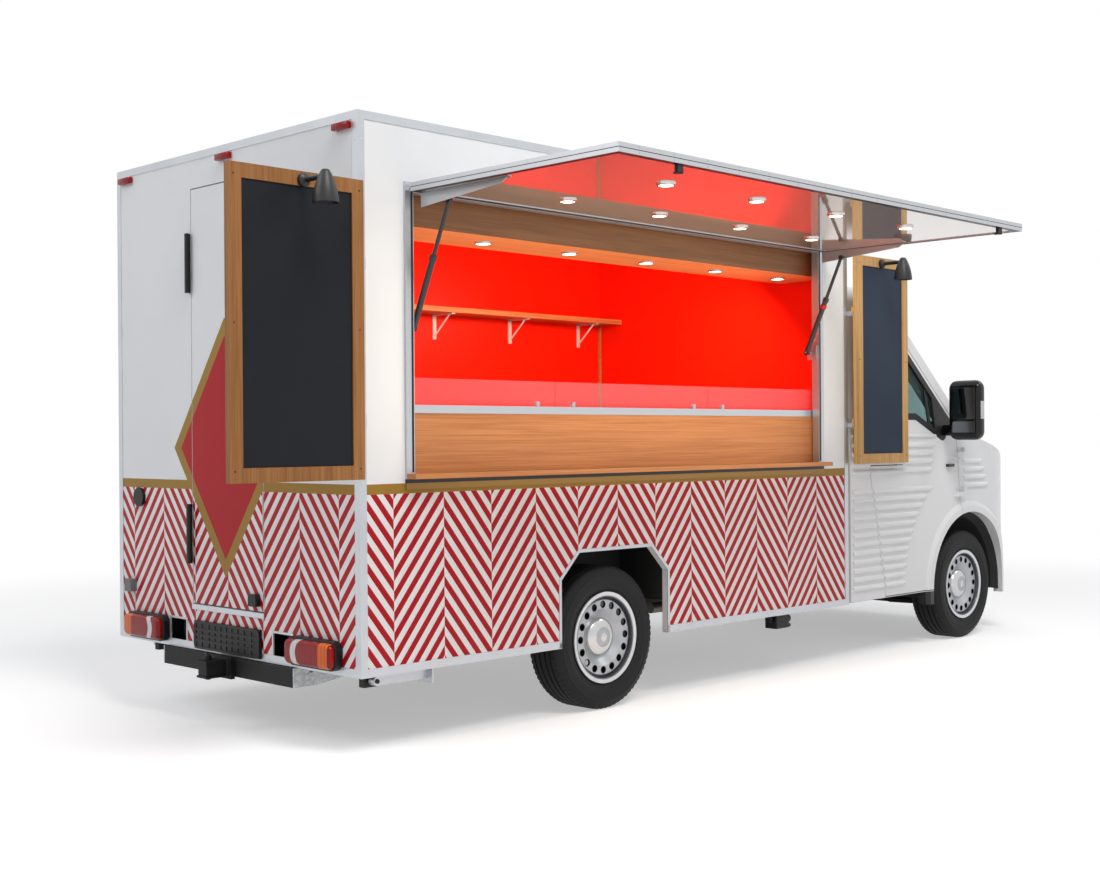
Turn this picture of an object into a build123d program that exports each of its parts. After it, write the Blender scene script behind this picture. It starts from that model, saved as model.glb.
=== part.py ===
from build123d import *
import math
import os

os.makedirs("parts", exist_ok=True)

# Vehicle frame: +X forward, +Y to the left, +Z up, ground at z = 0, origin at mid wheelbase.

# Running gear
wheelbase = 3450
track = 1690
tyre_radius = 350
tyre_width = 215
tyre_bore = 206
rim_flange_radius = 222
rim_half_width = 86
rim_hole_count = 16
rim_hole_radius = 15
rim_hole_circle = 160
cap_radius = 92
spindle_radius = 30
running_fit = 0.3
kingpin_inset = 60
kingpin_radius = 24
arm_offset = 135
arm_thick = 24
backing_radius = arm_offset - arm_thick
axle_z = tyre_radius
front_axle_x = wheelbase / 2
rear_axle_x = -wheelbase / 2

# Ladder frame under the floor
rail_y = 430
rail_width = 80
rail_bottom = 395
rail_top = 500
rail_inner = rail_y - rail_width / 2
rail_outer = rail_y + rail_width / 2

# Engine and gearbox mass between the rails, tank and silencer outside them
engine_rear = front_axle_x - 345
engine_length = 800
engine_half = rail_inner - 30
engine_bottom = 330
engine_top = 930

# Catering box, set behind the front axle by the length of the cab
cab_setback = 1410
box_length = 3570
box_width = 1970
box_height = 2340
skirt_z = 340
wall = 34
floor_thick = 60
profile_width = wall - 1
profile_thick = 3
box_front = front_axle_x - cab_setback
box_rear = box_front - box_length
box_top = skirt_z + box_height
box_mid = (box_rear + box_front) / 2
half_width = box_width / 2
floor_bottom = rail_top
floor_top = floor_bottom + floor_thick
inner_half = half_width - wall
tank_length = 680
tank_width = 330
tank_rear = box_front - 735
silencer_length = 640
silencer_width = 230
silencer_rear = box_front - 1215

# Wheel-arch cut-out in both skirts, an octagon's upper half
arch_rear = rear_axle_x - 352
arch_front = rear_axle_x + 413
arch_shoulder = skirt_z + 316
arch_crest = skirt_z + 439
arch_chamfer = 123
wheel_box_gap = 77.5
wheel_box_inner = (track - tyre_width) / 2 - wheel_box_gap
wheel_box_wall = 12

# Serving window in the right wall
window_rear = box_rear + 285
window_front = box_front - 300
window_sill = skirt_z + 815
window_head = skirt_z + 2030
frame_width = 45
frame_proud = 12
frame_lip = 3

# Awning over the window, hinged on the frame's top edge
awning_depth = 1195
awning_thick = 30
awning_under = 10
awning_edge = 30
awning_edge_proud = 4
awning_hinge_y = -(half_width + 34)
awning_hinge_z = skirt_z + 2040
awning_hinge_radius = 7
awning_sleeve_radius = 11
awning_sleeve_length = 160
awning_sleeve_count = 5
awning_rear = window_rear - frame_width
awning_front = window_front + frame_width
awning_lamp_radius = 42
awning_lamp_drop = 24
awning_lamp_count = 4
awning_lamp_first = awning_rear + 660
awning_lamp_last = awning_front - 567
awning_lamp_pitch = (awning_lamp_last - awning_lamp_first) / (awning_lamp_count - 1)
awning_lamp_rows = (295, 860)
bracket_length = 552
bracket_deep = 75
bracket_shallow = 34
bracket_thick = 4
bracket_inset = 12

# Gas struts of the awning
strut_low_y = -(half_width - 41)
strut_low_z = skirt_z + 1460
strut_reach = 160
strut_drop = 60
strut_barrel_radius = 14
strut_rod_radius = 9
strut_barrel_length = 330
strut_from_jamb = 42
strut_pin_radius = 5

# Rear door
door_left = 297
door_right = -285
door_bottom = skirt_z + 218
door_top = skirt_z + 2169
door_clear = 6
door_hinge_out = 20
door_hinge_radius = 11
door_hinge_length = 280

# Menu boards swung out beside the window
board_thick = 30
board_bottom = skirt_z + 820
board_top = skirt_z + 2040
board_frame = 58
board_recess = 10
board_hinge_out = 30
board_hinge_along = 12
board_edge_gap = 8
board_face_gap = 2
board_knuckle_radius = 6
rear_board_width = 640
front_board_width = 548
bell_radius = 52
bell_height = 105
bell_reach = 150

# Galley inside the box
worktop_z = skirt_z + 1131
worktop_thick = 35
worktop_depth = 600
galley_front = -(inner_half - 8)
panel_thick = 18
guard_height = 118
guard_thick = 6
ledge_thick = 22
ledge_top = window_sill + ledge_thick
ledge_out = 72
pelmet_face = -900
pelmet_bottom = skirt_z + 1905
soffit_depth = 360
soffit_lamp_radius = 34
soffit_lamp_count = 6
soffit_lamp_first = box_rear + 360
soffit_lamp_last = box_front - 310
soffit_lamp_pitch = (soffit_lamp_last - soffit_lamp_first) / (soffit_lamp_count - 1)
shelf_depth = 200
shelf_thick = 30
shelf_z = skirt_z + 1735
shelf_rear = box_rear + 600
shelf_bracket_count = 5
shelf_bracket_first = shelf_rear + 210
shelf_bracket_last = box_front - wall - 214
shelf_bracket_pitch = (shelf_bracket_last - shelf_bracket_first) / (shelf_bracket_count - 1)

# Lamps and fittings on the rear wall
lamp_y = half_width - 300
lamp_width = 350
lamp_height = 126
lamp_bottom = skirt_z + 14
lamp_depth = 62
marker_y = half_width - 95
marker_size = (26, 110, 30)
marker_z = box_top - profile_width - marker_size[2] / 2 - 6
cap_y = half_width - 206
catch_y = half_width - 129
plate_width = 540
plate_height = 130
plate_depth = 12
pocket_half = 70
pocket_bottom = skirt_z + 5
pocket_top = skirt_z + 132

# Tow beam
beam_half = 530
beam_bottom = 250
beam_top = 338
beam_rear = box_rear - 20
beam_front = box_rear + 100

# Corner steadies under the rear of the box
steady_x = box_rear + 150
steady_y = 880
steady_z = 300
steady_length = 280
steady_size = 38

# Cab body
cab_rear = box_front + 30
cab_wall = 45
cab_half = 985
front_overhang = 950
cab_nose = front_axle_x + front_overhang
cab_corner = 700
cab_sill = 345
nose_bottom = 262
roof_z = 2235
belt_z = 1300
roof_half = 872
screen_head_x = front_axle_x - 901
screen_base_x = front_axle_x + 25
screen_base_z = 1330
bonnet_edge_x = cab_nose - 415
bonnet_edge_z = 1200
front_face_x = cab_nose - 65
front_face_z = 760
front_low_x = cab_nose - 15
front_low_z = 420
cab_arch_radius = 475
flare_radius = 548
flare_proud = 16
cab_floor_top = 545
bulkhead_x = front_axle_x - 475
bulkhead_thick = 50
dash_z = 1000
dash_rear = bulkhead_x - 70
split_x = front_axle_x - 105
panel_gap = 6
rib_radius = 11
rib_proud = 9
rib_pitch = 52
rib_count = 12
rib_first_z = 423
rib_fan_radius = 800
belt_rib_count = 5
belt_rib_first_z = 1112
fender_rib_count = 4
fender_rib_first_z = 1000

rail_front = cab_nose - 375

# Cab door outlines on the side view, from the sill round by the belt to the wheel arch,
# stepped so that the door passes under the front menu board and opens ahead of its end
front_board_end = box_front + board_hinge_along + board_edge_gap + front_board_width
door_upper_rear = front_board_end + 37
cab_door_outline = (
    (cab_rear + 373, cab_sill + 7),
    (cab_rear + 215, 1075),
    (cab_rear + 215, board_bottom - 15),
    (door_upper_rear, board_bottom - 15),
    (door_upper_rear, 2000),
    (front_axle_x - 768, 2000),
    (front_axle_x - 160, 1405),
    (front_axle_x - 160, 1325),
    (front_axle_x - 113, 880),
    (split_x - 2, cab_sill + 7),
)
cab_window_outline = (
    (door_upper_rear + 45, 1451),
    (front_axle_x - 625, 1451),
    (front_axle_x - 330, 1318),
    (front_axle_x - 235, 1400),
    (front_axle_x - 715, 1868),
    (door_upper_rear + 45, 1868),
)
glass_thick = 6
glass_depth = 17
glass_bite = 12
cab_hinge_x = split_x
cab_hinge_out = cab_half + 26
cab_hinge_radius = 9
cab_hinge_half = 30
cab_hinge_levels = (960, 1215)

# Mirrors on the cab doors
mirror_x = front_axle_x - 330
mirror_z = 1480
mirror_half_height = 187
mirror_width = 220
mirror_depth = 120
mirror_out = 70

# Front lamps and grille
headlamp_y = 690
headlamp_z = 1075
headlamp_radius = 96
headlamp_front = cab_nose - 235
headlamp_rear = cab_nose - 515
grille_half = 300
grille_bottom = 500
grille_top = 900
grille_proud = 16
grille_bars = 7
bonnet_rear = front_axle_x + 75
bonnet_half = 585
bonnet_edge_drop = 283
bonnet_edge_reach = 583
bonnet_hinge_x = bonnet_rear - 3
bonnet_hinge_z = screen_base_z + 2
bonnet_hinge_radius = 8
bonnet_hinge_length = 40
bonnet_hinge_y = 450


def block(x0, x1, y0, y1, z0, z1, mode=Mode.ADD):
    with Locations(((x0 + x1) / 2, (y0 + y1) / 2, (z0 + z1) / 2)):
        Box(abs(x1 - x0), abs(y1 - y0), abs(z1 - z0), mode=mode)


def rod(start, end, radius, mode=Mode.ADD):
    a = Vector(*start)
    b = Vector(*end)
    with Locations(Plane(origin=a, z_dir=b - a).location):
        Cylinder(radius, (b - a).length, align=(Align.CENTER, Align.CENTER, Align.MIN), mode=mode)


def save(builder, name):
    builder.part.label = name
    export_step(builder.part, "parts/" + name + ".step")


# Wheels: tyre and pressed-steel rim at each corner
wheels = (
    ("front_left", front_axle_x, 1),
    ("front_right", front_axle_x, -1),
    ("rear_left", rear_axle_x, 1),
    ("rear_right", rear_axle_x, -1),
)
half_tyre = tyre_width / 2
for wheel_name, wheel_x, side in wheels:
    centre = (wheel_x, side * track / 2, axle_z)
    section = Plane(origin=centre, x_dir=(0, side, 0), z_dir=(side, 0, 0))
    spin = Axis(centre, (0, side, 0))

    with BuildPart() as tyre:
        with BuildSketch(section):
            with BuildLine():
                Polyline(
                    (-half_tyre + 20, tyre_radius - 6),
                    (-half_tyre + 34, tyre_radius),
                    (half_tyre - 34, tyre_radius),
                    (half_tyre - 20, tyre_radius - 6),
                )
                ThreePointArc(
                    (half_tyre - 20, tyre_radius - 6),
                    (half_tyre, (tyre_radius + rim_flange_radius) / 2),
                    (rim_half_width + running_fit, rim_flange_radius + 3),
                )
                Polyline(
                    (rim_half_width + running_fit, rim_flange_radius + 3),
                    (rim_half_width - running_fit, tyre_bore + running_fit),
                    (-rim_half_width + running_fit, tyre_bore + running_fit),
                    (-rim_half_width - running_fit, rim_flange_radius + 3),
                )
                ThreePointArc(
                    (-rim_half_width - running_fit, rim_flange_radius + 3),
                    (-half_tyre, (tyre_radius + rim_flange_radius) / 2),
                    (-half_tyre + 20, tyre_radius - 6),
                )
            make_face()
        revolve(axis=spin)
    save(tyre, "tyre_" + wheel_name)

    with BuildPart() as rim:
        with BuildSketch(section):
            with BuildLine():
                Polyline(
                    (-rim_half_width, tyre_bore),
                    (rim_half_width, tyre_bore),
                    (rim_half_width + 4, rim_flange_radius),
                    (rim_half_width + 12, rim_flange_radius),
                    (rim_half_width + 8, tyre_bore - 8),
                    (-rim_half_width - 8, tyre_bore - 8),
                    (-rim_half_width - 12, rim_flange_radius),
                    (-rim_half_width - 4, rim_flange_radius),
                    close=True,
                )
            make_face()
            with BuildLine():
                Polyline(
                    (52, tyre_bore - 6),
                    (66, tyre_bore - 6),
                    (78, rim_hole_circle + 22),
                    (78, rim_hole_circle - 20),
                    (52, cap_radius + 12),
                    (46, cap_radius),
                    (46, spindle_radius + running_fit),
                    (-20, spindle_radius + running_fit),
                    (-20, 62),
                    (36, 66),
                    (42, cap_radius + 14),
                    (68, rim_hole_circle - 18),
                    (68, rim_hole_circle + 20),
                    close=True,
                )
            make_face()
            with BuildLine():
                Line((44, 0), (82, 0))
                ThreePointArc((82, 0), (72, cap_radius * 0.72), (46, cap_radius + 2))
                Line((46, cap_radius + 2), (44, cap_radius))
                Line((44, cap_radius), (44, 0))
            make_face()
        revolve(axis=spin)
        holes = Plane(
            origin=(wheel_x, side * (track / 2 + 50), axle_z),
            x_dir=(1, 0, 0),
            z_dir=(0, side, 0),
        )
        with BuildSketch(holes):
            with PolarLocations(rim_hole_circle, rim_hole_count):
                Circle(rim_hole_radius)
        extrude(amount=40, mode=Mode.SUBTRACT)
    save(rim, "rim_" + wheel_name)

# Front knuckles: spindle, backing plate, upright, kingpin and steering arm
kingpin_y = track / 2 - kingpin_inset
for side_name, side in (("left", 1), ("right", -1)):
    with BuildPart() as knuckle:
        rod(
            (front_axle_x, side * (track / 2 - 78), axle_z),
            (front_axle_x, side * (track / 2 + 38), axle_z),
            spindle_radius,
        )
        rod(
            (front_axle_x, side * (track / 2 - 42), axle_z),
            (front_axle_x, side * (track / 2 - 30), axle_z),
            backing_radius,
        )
        block(
            front_axle_x - 48,
            front_axle_x + 48,
            side * (track / 2 - 78),
            side * (track / 2 - 42),
            axle_z - 96,
            axle_z + 96,
        )
        rod(
            (front_axle_x, side * kingpin_y, axle_z - arm_offset - 18),
            (front_axle_x, side * kingpin_y, axle_z + arm_offset + 18),
            kingpin_radius,
        )
        block(
            front_axle_x - 140,
            front_axle_x,
            side * (kingpin_y - 14),
            side * (kingpin_y + 14),
            axle_z - 74,
            axle_z - 50,
        )
    save(knuckle, "knuckle_" + side_name)

# Front subframe: cross beam, posts to the rails, wishbones with eyes round the kingpins
with BuildPart() as front_subframe:
    block(front_axle_x - 70, front_axle_x + 70, -470, 470, 203, 285)
    for side in (1, -1):
        block(front_axle_x - 60, front_axle_x + 60, side * 392, side * 468, 285, rail_bottom)
        for level, inner_y in ((axle_z - arm_offset, 440), (axle_z + arm_offset, 470)):
            deck = Plane.XY.offset(level - arm_thick / 2)
            with BuildSketch(deck):
                with BuildLine():
                    Polyline(
                        (front_axle_x - 100, side * inner_y),
                        (front_axle_x + 100, side * inner_y),
                        (front_axle_x + 36, side * kingpin_y),
                        (front_axle_x - 36, side * kingpin_y),
                        close=True,
                    )
                make_face()
                with Locations((front_axle_x, side * kingpin_y)):
                    Circle(42)
                    Circle(kingpin_radius + running_fit, mode=Mode.SUBTRACT)
            extrude(amount=arm_thick)
    rod((front_axle_x - 120, -420, 245), (front_axle_x - 120, 420, 245), 26)
    block(front_axle_x - 130, front_axle_x - 60, -260, -200, 225, 265)
    block(front_axle_x - 130, front_axle_x - 60, 200, 260, 225, 265)
save(front_subframe, "front_subframe")

# Rear axle: beam tube with spindles, backing plates, trailing arms and spring seats
with BuildPart() as rear_axle:
    rod((rear_axle_x, -(track / 2 - 40), axle_z), (rear_axle_x, track / 2 - 40, axle_z), 36)
    for side in (1, -1):
        rod(
            (rear_axle_x, side * (track / 2 - 60), axle_z),
            (rear_axle_x, side * (track / 2 + 38), axle_z),
            spindle_radius,
        )
        rod(
            (rear_axle_x, side * (track / 2 - 42), axle_z),
            (rear_axle_x, side * (track / 2 - 30), axle_z),
            backing_radius,
        )
        block(rear_axle_x - 60, rear_axle_x + 460, side * 400, side * 460, 330, 370)
        block(rear_axle_x + 400, rear_axle_x + 460, side * 400, side * 460, 330, rail_bottom)
        rod((rear_axle_x, side * rail_y, 340), (rear_axle_x, side * rail_y, rail_bottom), 34)
save(rear_axle, "rear_axle")

# Ladder frame: two rails and cross members
with BuildPart() as chassis_frame:
    for side in (1, -1):
        block(
            box_rear + 50,
            rail_front,
            side * (rail_y - rail_width / 2),
            side * (rail_y + rail_width / 2),
            rail_bottom,
            rail_top,
        )
    for cross_x in (
        box_rear + 120,
        rear_axle_x - 575,
        rear_axle_x + 475,
        box_front - 765,
        box_front - 15,
        front_axle_x - 725,
        rail_front - 60,
    ):
        block(
            cross_x - 35,
            cross_x + 35,
            -(rail_y - rail_width / 2),
            rail_y - rail_width / 2,
            rail_bottom + 18,
            rail_top - 12,
        )
save(chassis_frame, "chassis_frame")

# Engine and gearbox as one plain mass between the rails
with BuildPart() as engine_block:
    block(engine_rear, engine_rear + engine_length, -engine_half, engine_half, engine_bottom, engine_top)
    block(
        engine_rear + 100,
        engine_rear + 220,
        -rail_inner,
        rail_inner,
        rail_bottom + 20,
        rail_top - 20,
    )
save(engine_block, "engine_block")

# Fuel tank on the left rail, silencer and tail pipe on the right
with BuildPart() as tank_and_exhaust:
    block(tank_rear, tank_rear + tank_length, rail_outer, rail_outer + tank_width, 372, rail_top - 6)
    fillet(tank_and_exhaust.edges().filter_by(Axis.X), 40)
    block(
        silencer_rear,
        silencer_rear + silencer_length,
        -rail_outer - silencer_width,
        -rail_outer,
        372,
        rail_top - 14,
    )
    silencer_y = -rail_outer - silencer_width / 2
    rod((silencer_rear + silencer_length, silencer_y, 430), (front_axle_x - 825, silencer_y, 430), 28)
    rod((silencer_rear, silencer_y - 55, 410), (silencer_rear - 150, silencer_y - 55, 410), 28)
save(tank_and_exhaust, "tank_and_exhaust")

# Box floor with the two wheel boxes and the posts that carry the corner steadies
box_inner_rear = box_rear + wall
box_inner_front = box_front - wall
with BuildPart() as box_floor:
    block(box_inner_rear, box_inner_front, -inner_half, inner_half, floor_bottom, floor_top)
    for side in (1, -1):
        block(
            arch_rear - wheel_box_wall,
            arch_front + wheel_box_wall,
            side * (wheel_box_inner - wheel_box_wall),
            side * inner_half,
            floor_bottom,
            arch_crest + 12 + wheel_box_wall,
        )
        block(
            arch_rear,
            arch_front,
            side * wheel_box_inner,
            side * inner_half,
            floor_bottom,
            arch_crest + 12,
            Mode.SUBTRACT,
        )
        block(
            steady_x - 34,
            steady_x + 34,
            side * (steady_y - 62),
            side * (steady_y - 26),
            steady_z - 30,
            floor_bottom,
        )
        rod(
            (steady_x, side * (steady_y - 40), steady_z),
            (steady_x, side * (steady_y + 24), steady_z),
            10,
        )
save(box_floor, "box_floor")

# Corner steadies, folded up along the skirt
for side_name, side in (("left", 1), ("right", -1)):
    with BuildPart() as steady:
        block(
            steady_x,
            steady_x + steady_length,
            side * (steady_y - steady_size / 2),
            side * (steady_y + steady_size / 2),
            steady_z - steady_size / 2,
            steady_z + steady_size / 2,
        )
        rod(
            (steady_x, side * (steady_y - steady_size / 2), steady_z),
            (steady_x, side * (steady_y + steady_size / 2), steady_z),
            steady_size / 2,
        )
        block(
            steady_x + steady_length,
            steady_x + steady_length + 8,
            side * (steady_y - 48),
            side * (steady_y + 48),
            steady_z - 40,
            steady_z + 30,
        )
        rod(
            (steady_x, side * (steady_y - 60), steady_z),
            (steady_x, side * (steady_y + 60), steady_z),
            10 + running_fit,
            Mode.SUBTRACT,
        )
    save(steady, "steady_" + side_name)

# Side walls: sandwich panels with the wheel-arch cut-out, the right one with the window
arch_points = (
    (arch_rear, skirt_z - 20),
    (arch_rear, arch_shoulder),
    (arch_rear + arch_chamfer, arch_crest),
    (arch_front - arch_chamfer, arch_crest),
    (arch_front, arch_shoulder),
    (arch_front, skirt_z - 20),
)
for wall_name, side in (("left", 1), ("right", -1)):
    with BuildPart() as side_wall:
        block(box_rear, box_front, side * inner_half, side * half_width, skirt_z, box_top)
        with BuildSketch(Plane.XZ.offset(-side * half_width)):
            with BuildLine():
                Polyline(*arch_points, close=True)
            make_face()
        extrude(amount=wall * 2, both=True, mode=Mode.SUBTRACT)
        if side < 0:
            block(
                window_rear - frame_lip,
                window_front + frame_lip,
                -half_width - 5,
                -inner_half + 5,
                window_sill - frame_lip,
                window_head + frame_lip,
                Mode.SUBTRACT,
            )
    save(side_wall, "box_wall_" + wall_name)

# Rear wall with the doorway and the two pockets in front of the rail ends
with BuildPart() as box_wall_rear:
    block(box_rear, box_inner_rear, -inner_half, inner_half, skirt_z, box_top)
    block(
        box_rear - 5,
        box_inner_rear + 5,
        door_right - door_clear,
        door_left + door_clear,
        door_bottom - door_clear,
        door_top + door_clear,
        Mode.SUBTRACT,
    )
    for side in (1, -1):
        block(
            box_rear - 5,
            box_inner_rear + 5,
            side * (rail_y - pocket_half),
            side * (rail_y + pocket_half),
            pocket_bottom,
            pocket_top,
            Mode.SUBTRACT,
        )
save(box_wall_rear, "box_wall_rear")

with BuildPart() as box_wall_front:
    block(box_inner_front, box_front, -inner_half, inner_half, floor_bottom, box_top)
save(box_wall_front, "box_wall_front")

with BuildPart() as box_roof:
    block(box_inner_rear, box_inner_front, -inner_half, inner_half, box_top - wall, box_top)
save(box_roof, "box_roof")

# Aluminium edge profiles wrapping every edge of the box, with the fixed board hinges
board_hinge_y = -(half_width + board_hinge_out)
boards = (
    ("rear_board", box_rear - board_hinge_along, -1, rear_board_width),
    ("front_board", box_front + board_hinge_along, 1, front_board_width),
)
board_hinge_levels = (board_bottom + 240, board_top - 330)
knuckle_half = 26
with BuildPart() as edge_profiles:
    block(
        box_rear - profile_thick,
        box_front + profile_thick,
        -half_width - profile_thick,
        half_width + profile_thick,
        skirt_z - profile_thick,
        box_top + profile_thick,
    )
    block(box_rear, box_front, -half_width, half_width, skirt_z, box_top, Mode.SUBTRACT)
    block(
        box_rear + profile_width,
        box_front - profile_width,
        -half_width - 20,
        half_width + 20,
        skirt_z + profile_width,
        box_top - profile_width,
        Mode.SUBTRACT,
    )
    block(
        box_rear - 20,
        box_front + 20,
        -half_width + profile_width,
        half_width - profile_width,
        skirt_z + profile_width,
        box_top - profile_width,
        Mode.SUBTRACT,
    )
    block(
        box_rear + profile_width,
        box_front - profile_width,
        -half_width + profile_width,
        half_width - profile_width,
        skirt_z - 20,
        box_top + 20,
        Mode.SUBTRACT,
    )
    with BuildSketch(Plane.XZ):
        with BuildLine():
            Polyline(*arch_points, close=True)
        make_face()
    extrude(amount=half_width + 20, both=True, mode=Mode.SUBTRACT)
    for board_name, hinge_x, reach, board_width in boards:
        for level in board_hinge_levels:
            rod(
                (hinge_x, board_hinge_y, level - knuckle_half),
                (hinge_x, board_hinge_y, level),
                board_knuckle_radius,
            )
            block(
                hinge_x - reach * 1,
                hinge_x - reach * 14,
                board_hinge_y - 5,
                board_hinge_y + 5,
                level - knuckle_half,
                level,
            )
            block(
                hinge_x - reach * 8,
                hinge_x - reach * 14,
                board_hinge_y - 5,
                -half_width - profile_thick,
                level - knuckle_half,
                level,
            )
            block(
                hinge_x - reach * 8,
                hinge_x - reach * 44,
                -half_width - profile_thick - 4,
                -half_width - profile_thick,
                level - knuckle_half,
                level + knuckle_half,
            )
save(edge_profiles, "edge_profiles")

# Aluminium window frame with the awning's hinge bar and the struts' lower pins
sleeve_pitch = (awning_front - awning_rear) / awning_sleeve_count
sleeve_rears = [
    awning_rear + (n + 0.5) * sleeve_pitch - awning_sleeve_length / 2
    for n in range(awning_sleeve_count)
]
web_starts = [awning_rear] + [x + awning_sleeve_length + 4 for x in sleeve_rears]
web_ends = [x - 4 for x in sleeve_rears] + [awning_front]
strut_x = (window_rear + strut_from_jamb, window_front - strut_from_jamb)
with BuildPart() as window_frame:
    block(
        window_rear - frame_width,
        window_front + frame_width,
        -half_width - frame_proud,
        -half_width,
        window_sill - frame_width,
        window_head + frame_width,
    )
    block(
        window_rear - frame_lip,
        window_front + frame_lip,
        -half_width - frame_proud,
        -inner_half,
        window_sill - frame_lip,
        window_head + frame_lip,
    )
    block(
        window_rear,
        window_front,
        -half_width - 50,
        -inner_half + 20,
        window_sill,
        window_head,
        Mode.SUBTRACT,
    )
    rod(
        (awning_rear, awning_hinge_y, awning_hinge_z),
        (awning_front, awning_hinge_y, awning_hinge_z),
        awning_hinge_radius,
    )
    for web_start, web_end in zip(web_starts, web_ends):
        block(
            web_start,
            web_end,
            awning_hinge_y,
            -half_width - frame_proud,
            awning_hinge_z - 4,
            awning_hinge_z + 4,
        )
    for end, jamb in ((strut_x[0], window_rear), (strut_x[1], window_front)):
        inward = 1 if jamb == window_rear else -1
        rod(
            (jamb, strut_low_y, strut_low_z),
            (end + inward * 14, strut_low_y, strut_low_z),
            strut_pin_radius,
        )
        block(
            jamb,
            jamb + inward * 6,
            strut_low_y + 20,
            -half_width + 2,
            strut_low_z - 40,
            strut_low_z + 40,
        )
save(window_frame, "window_frame")

# Awning: flat panel, and its aluminium rim with the two tapered brackets
awning_back = awning_hinge_y - 14
awning_outer = awning_hinge_y - awning_depth
with BuildPart() as awning_panel:
    block(
        awning_rear + awning_edge,
        awning_front - awning_edge,
        awning_outer + awning_edge,
        awning_back - awning_edge,
        awning_hinge_z - awning_under,
        awning_hinge_z - awning_under + awning_thick,
    )
save(awning_panel, "awning_panel")

bracket_plates = (
    (window_rear + bracket_inset, 1),
    (window_front - bracket_inset, -1),
)
with BuildPart() as awning_frame:
    block(
        awning_rear,
        awning_front,
        awning_outer,
        awning_back,
        awning_hinge_z - awning_under - awning_edge_proud,
        awning_hinge_z - awning_under + awning_thick + awning_edge_proud,
    )
    block(
        awning_rear + awning_edge,
        awning_front - awning_edge,
        awning_outer + awning_edge,
        awning_back - awning_edge,
        awning_hinge_z - 100,
        awning_hinge_z + 100,
        Mode.SUBTRACT,
    )
    for plate_x, inward in bracket_plates:
        with BuildSketch(Plane.YZ.offset(plate_x)):
            with BuildLine():
                Polyline(
                    (awning_back, awning_hinge_z - awning_under - awning_edge_proud + 2),
                    (awning_back, awning_hinge_z - bracket_deep),
                    (awning_hinge_y - bracket_length + 40, awning_hinge_z - bracket_shallow),
                    (awning_hinge_y - bracket_length, awning_hinge_z - awning_under),
                    close=True,
                )
            make_face()
        extrude(amount=inward * bracket_thick)
        block(
            plate_x,
            plate_x + inward * 18,
            awning_hinge_y - bracket_length,
            awning_back,
            awning_hinge_z - awning_under - 4,
            awning_hinge_z - awning_under,
        )
    for sleeve_rear in sleeve_rears:
        sleeve_front = sleeve_rear + awning_sleeve_length
        block(
            sleeve_rear,
            sleeve_front,
            awning_back,
            awning_hinge_y,
            awning_hinge_z - 4,
            awning_hinge_z + 4,
        )
        rod(
            (sleeve_rear, awning_hinge_y, awning_hinge_z),
            (sleeve_front, awning_hinge_y, awning_hinge_z),
            awning_sleeve_radius,
        )
        rod(
            (sleeve_rear - 5, awning_hinge_y, awning_hinge_z),
            (sleeve_front + 5, awning_hinge_y, awning_hinge_z),
            awning_hinge_radius + running_fit,
            Mode.SUBTRACT,
        )
save(awning_frame, "awning_frame")

with BuildPart() as awning_lamps:
    for row in awning_lamp_rows:
        for n in range(awning_lamp_count):
            lamp_x = awning_lamp_first + n * awning_lamp_pitch
            top = (lamp_x, awning_hinge_y - row, awning_hinge_z - awning_under)
            low = (lamp_x, awning_hinge_y - row, awning_hinge_z - awning_under - awning_lamp_drop)
            rod(top, low, awning_lamp_radius)
save(awning_lamps, "awning_lamps")

# Gas struts: barrel pinned to the jamb, rod reaching the bracket's stud
strut_top_y = awning_hinge_y - strut_reach
strut_top_z = awning_hinge_z - strut_drop
strut_line = Vector(0, strut_top_y - strut_low_y, strut_top_z - strut_low_z)
strut_open = strut_line.length
strut_dir = strut_line.normalized()
for strut_name, x, plate in (
    ("rear", strut_x[0], bracket_plates[0]),
    ("front", strut_x[1], bracket_plates[1]),
):
    low = Vector(x, strut_low_y, strut_low_z)
    high = low + strut_dir * strut_open
    with BuildPart() as barrel:
        rod(low + strut_dir * 10, low + strut_dir * strut_barrel_length, strut_barrel_radius)
        rod(
            low + strut_dir * (strut_barrel_length - 24),
            low + strut_dir * strut_barrel_length,
            strut_barrel_radius + 3,
        )
        rod(low + Vector(-9, 0, 0), low + Vector(9, 0, 0), 15)
        rod(
            low + Vector(-20, 0, 0),
            low + Vector(20, 0, 0),
            strut_pin_radius + running_fit,
            Mode.SUBTRACT,
        )
        rod(
            low + strut_dir * 60,
            low + strut_dir * (strut_barrel_length + 10),
            strut_rod_radius + running_fit,
            Mode.SUBTRACT,
        )
    save(barrel, "strut_barrel_" + strut_name)
    plate_x, inward = plate
    stud_end = plate_x + inward * (bracket_thick + running_fit)
    with BuildPart() as strut_rod:
        rod(low + strut_dir * 230, high - strut_dir * 6, strut_rod_radius)
        rod(high + Vector(-9, 0, 0), high + Vector(9, 0, 0), 13)
        rod(high, Vector(stud_end, high.Y, high.Z), 5)
    save(strut_rod, "strut_rod_" + strut_name)

# Rear door panel with its lower catch and handle, and the fixed hinge barrels on the wall
with BuildPart() as rear_door:
    block(box_rear, box_inner_rear, door_right, door_left, door_bottom, door_top)
    block(box_rear - 26, box_rear, -256, -196, door_bottom + 22, door_bottom + 76)
    block(box_rear - 46, box_rear, -262, -232, 1330, 1348)
    block(box_rear - 46, box_rear, -262, -232, 1462, 1480)
    block(box_rear - 52, box_rear - 34, -262, -232, 1330, 1480)
save(rear_door, "rear_door")

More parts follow.
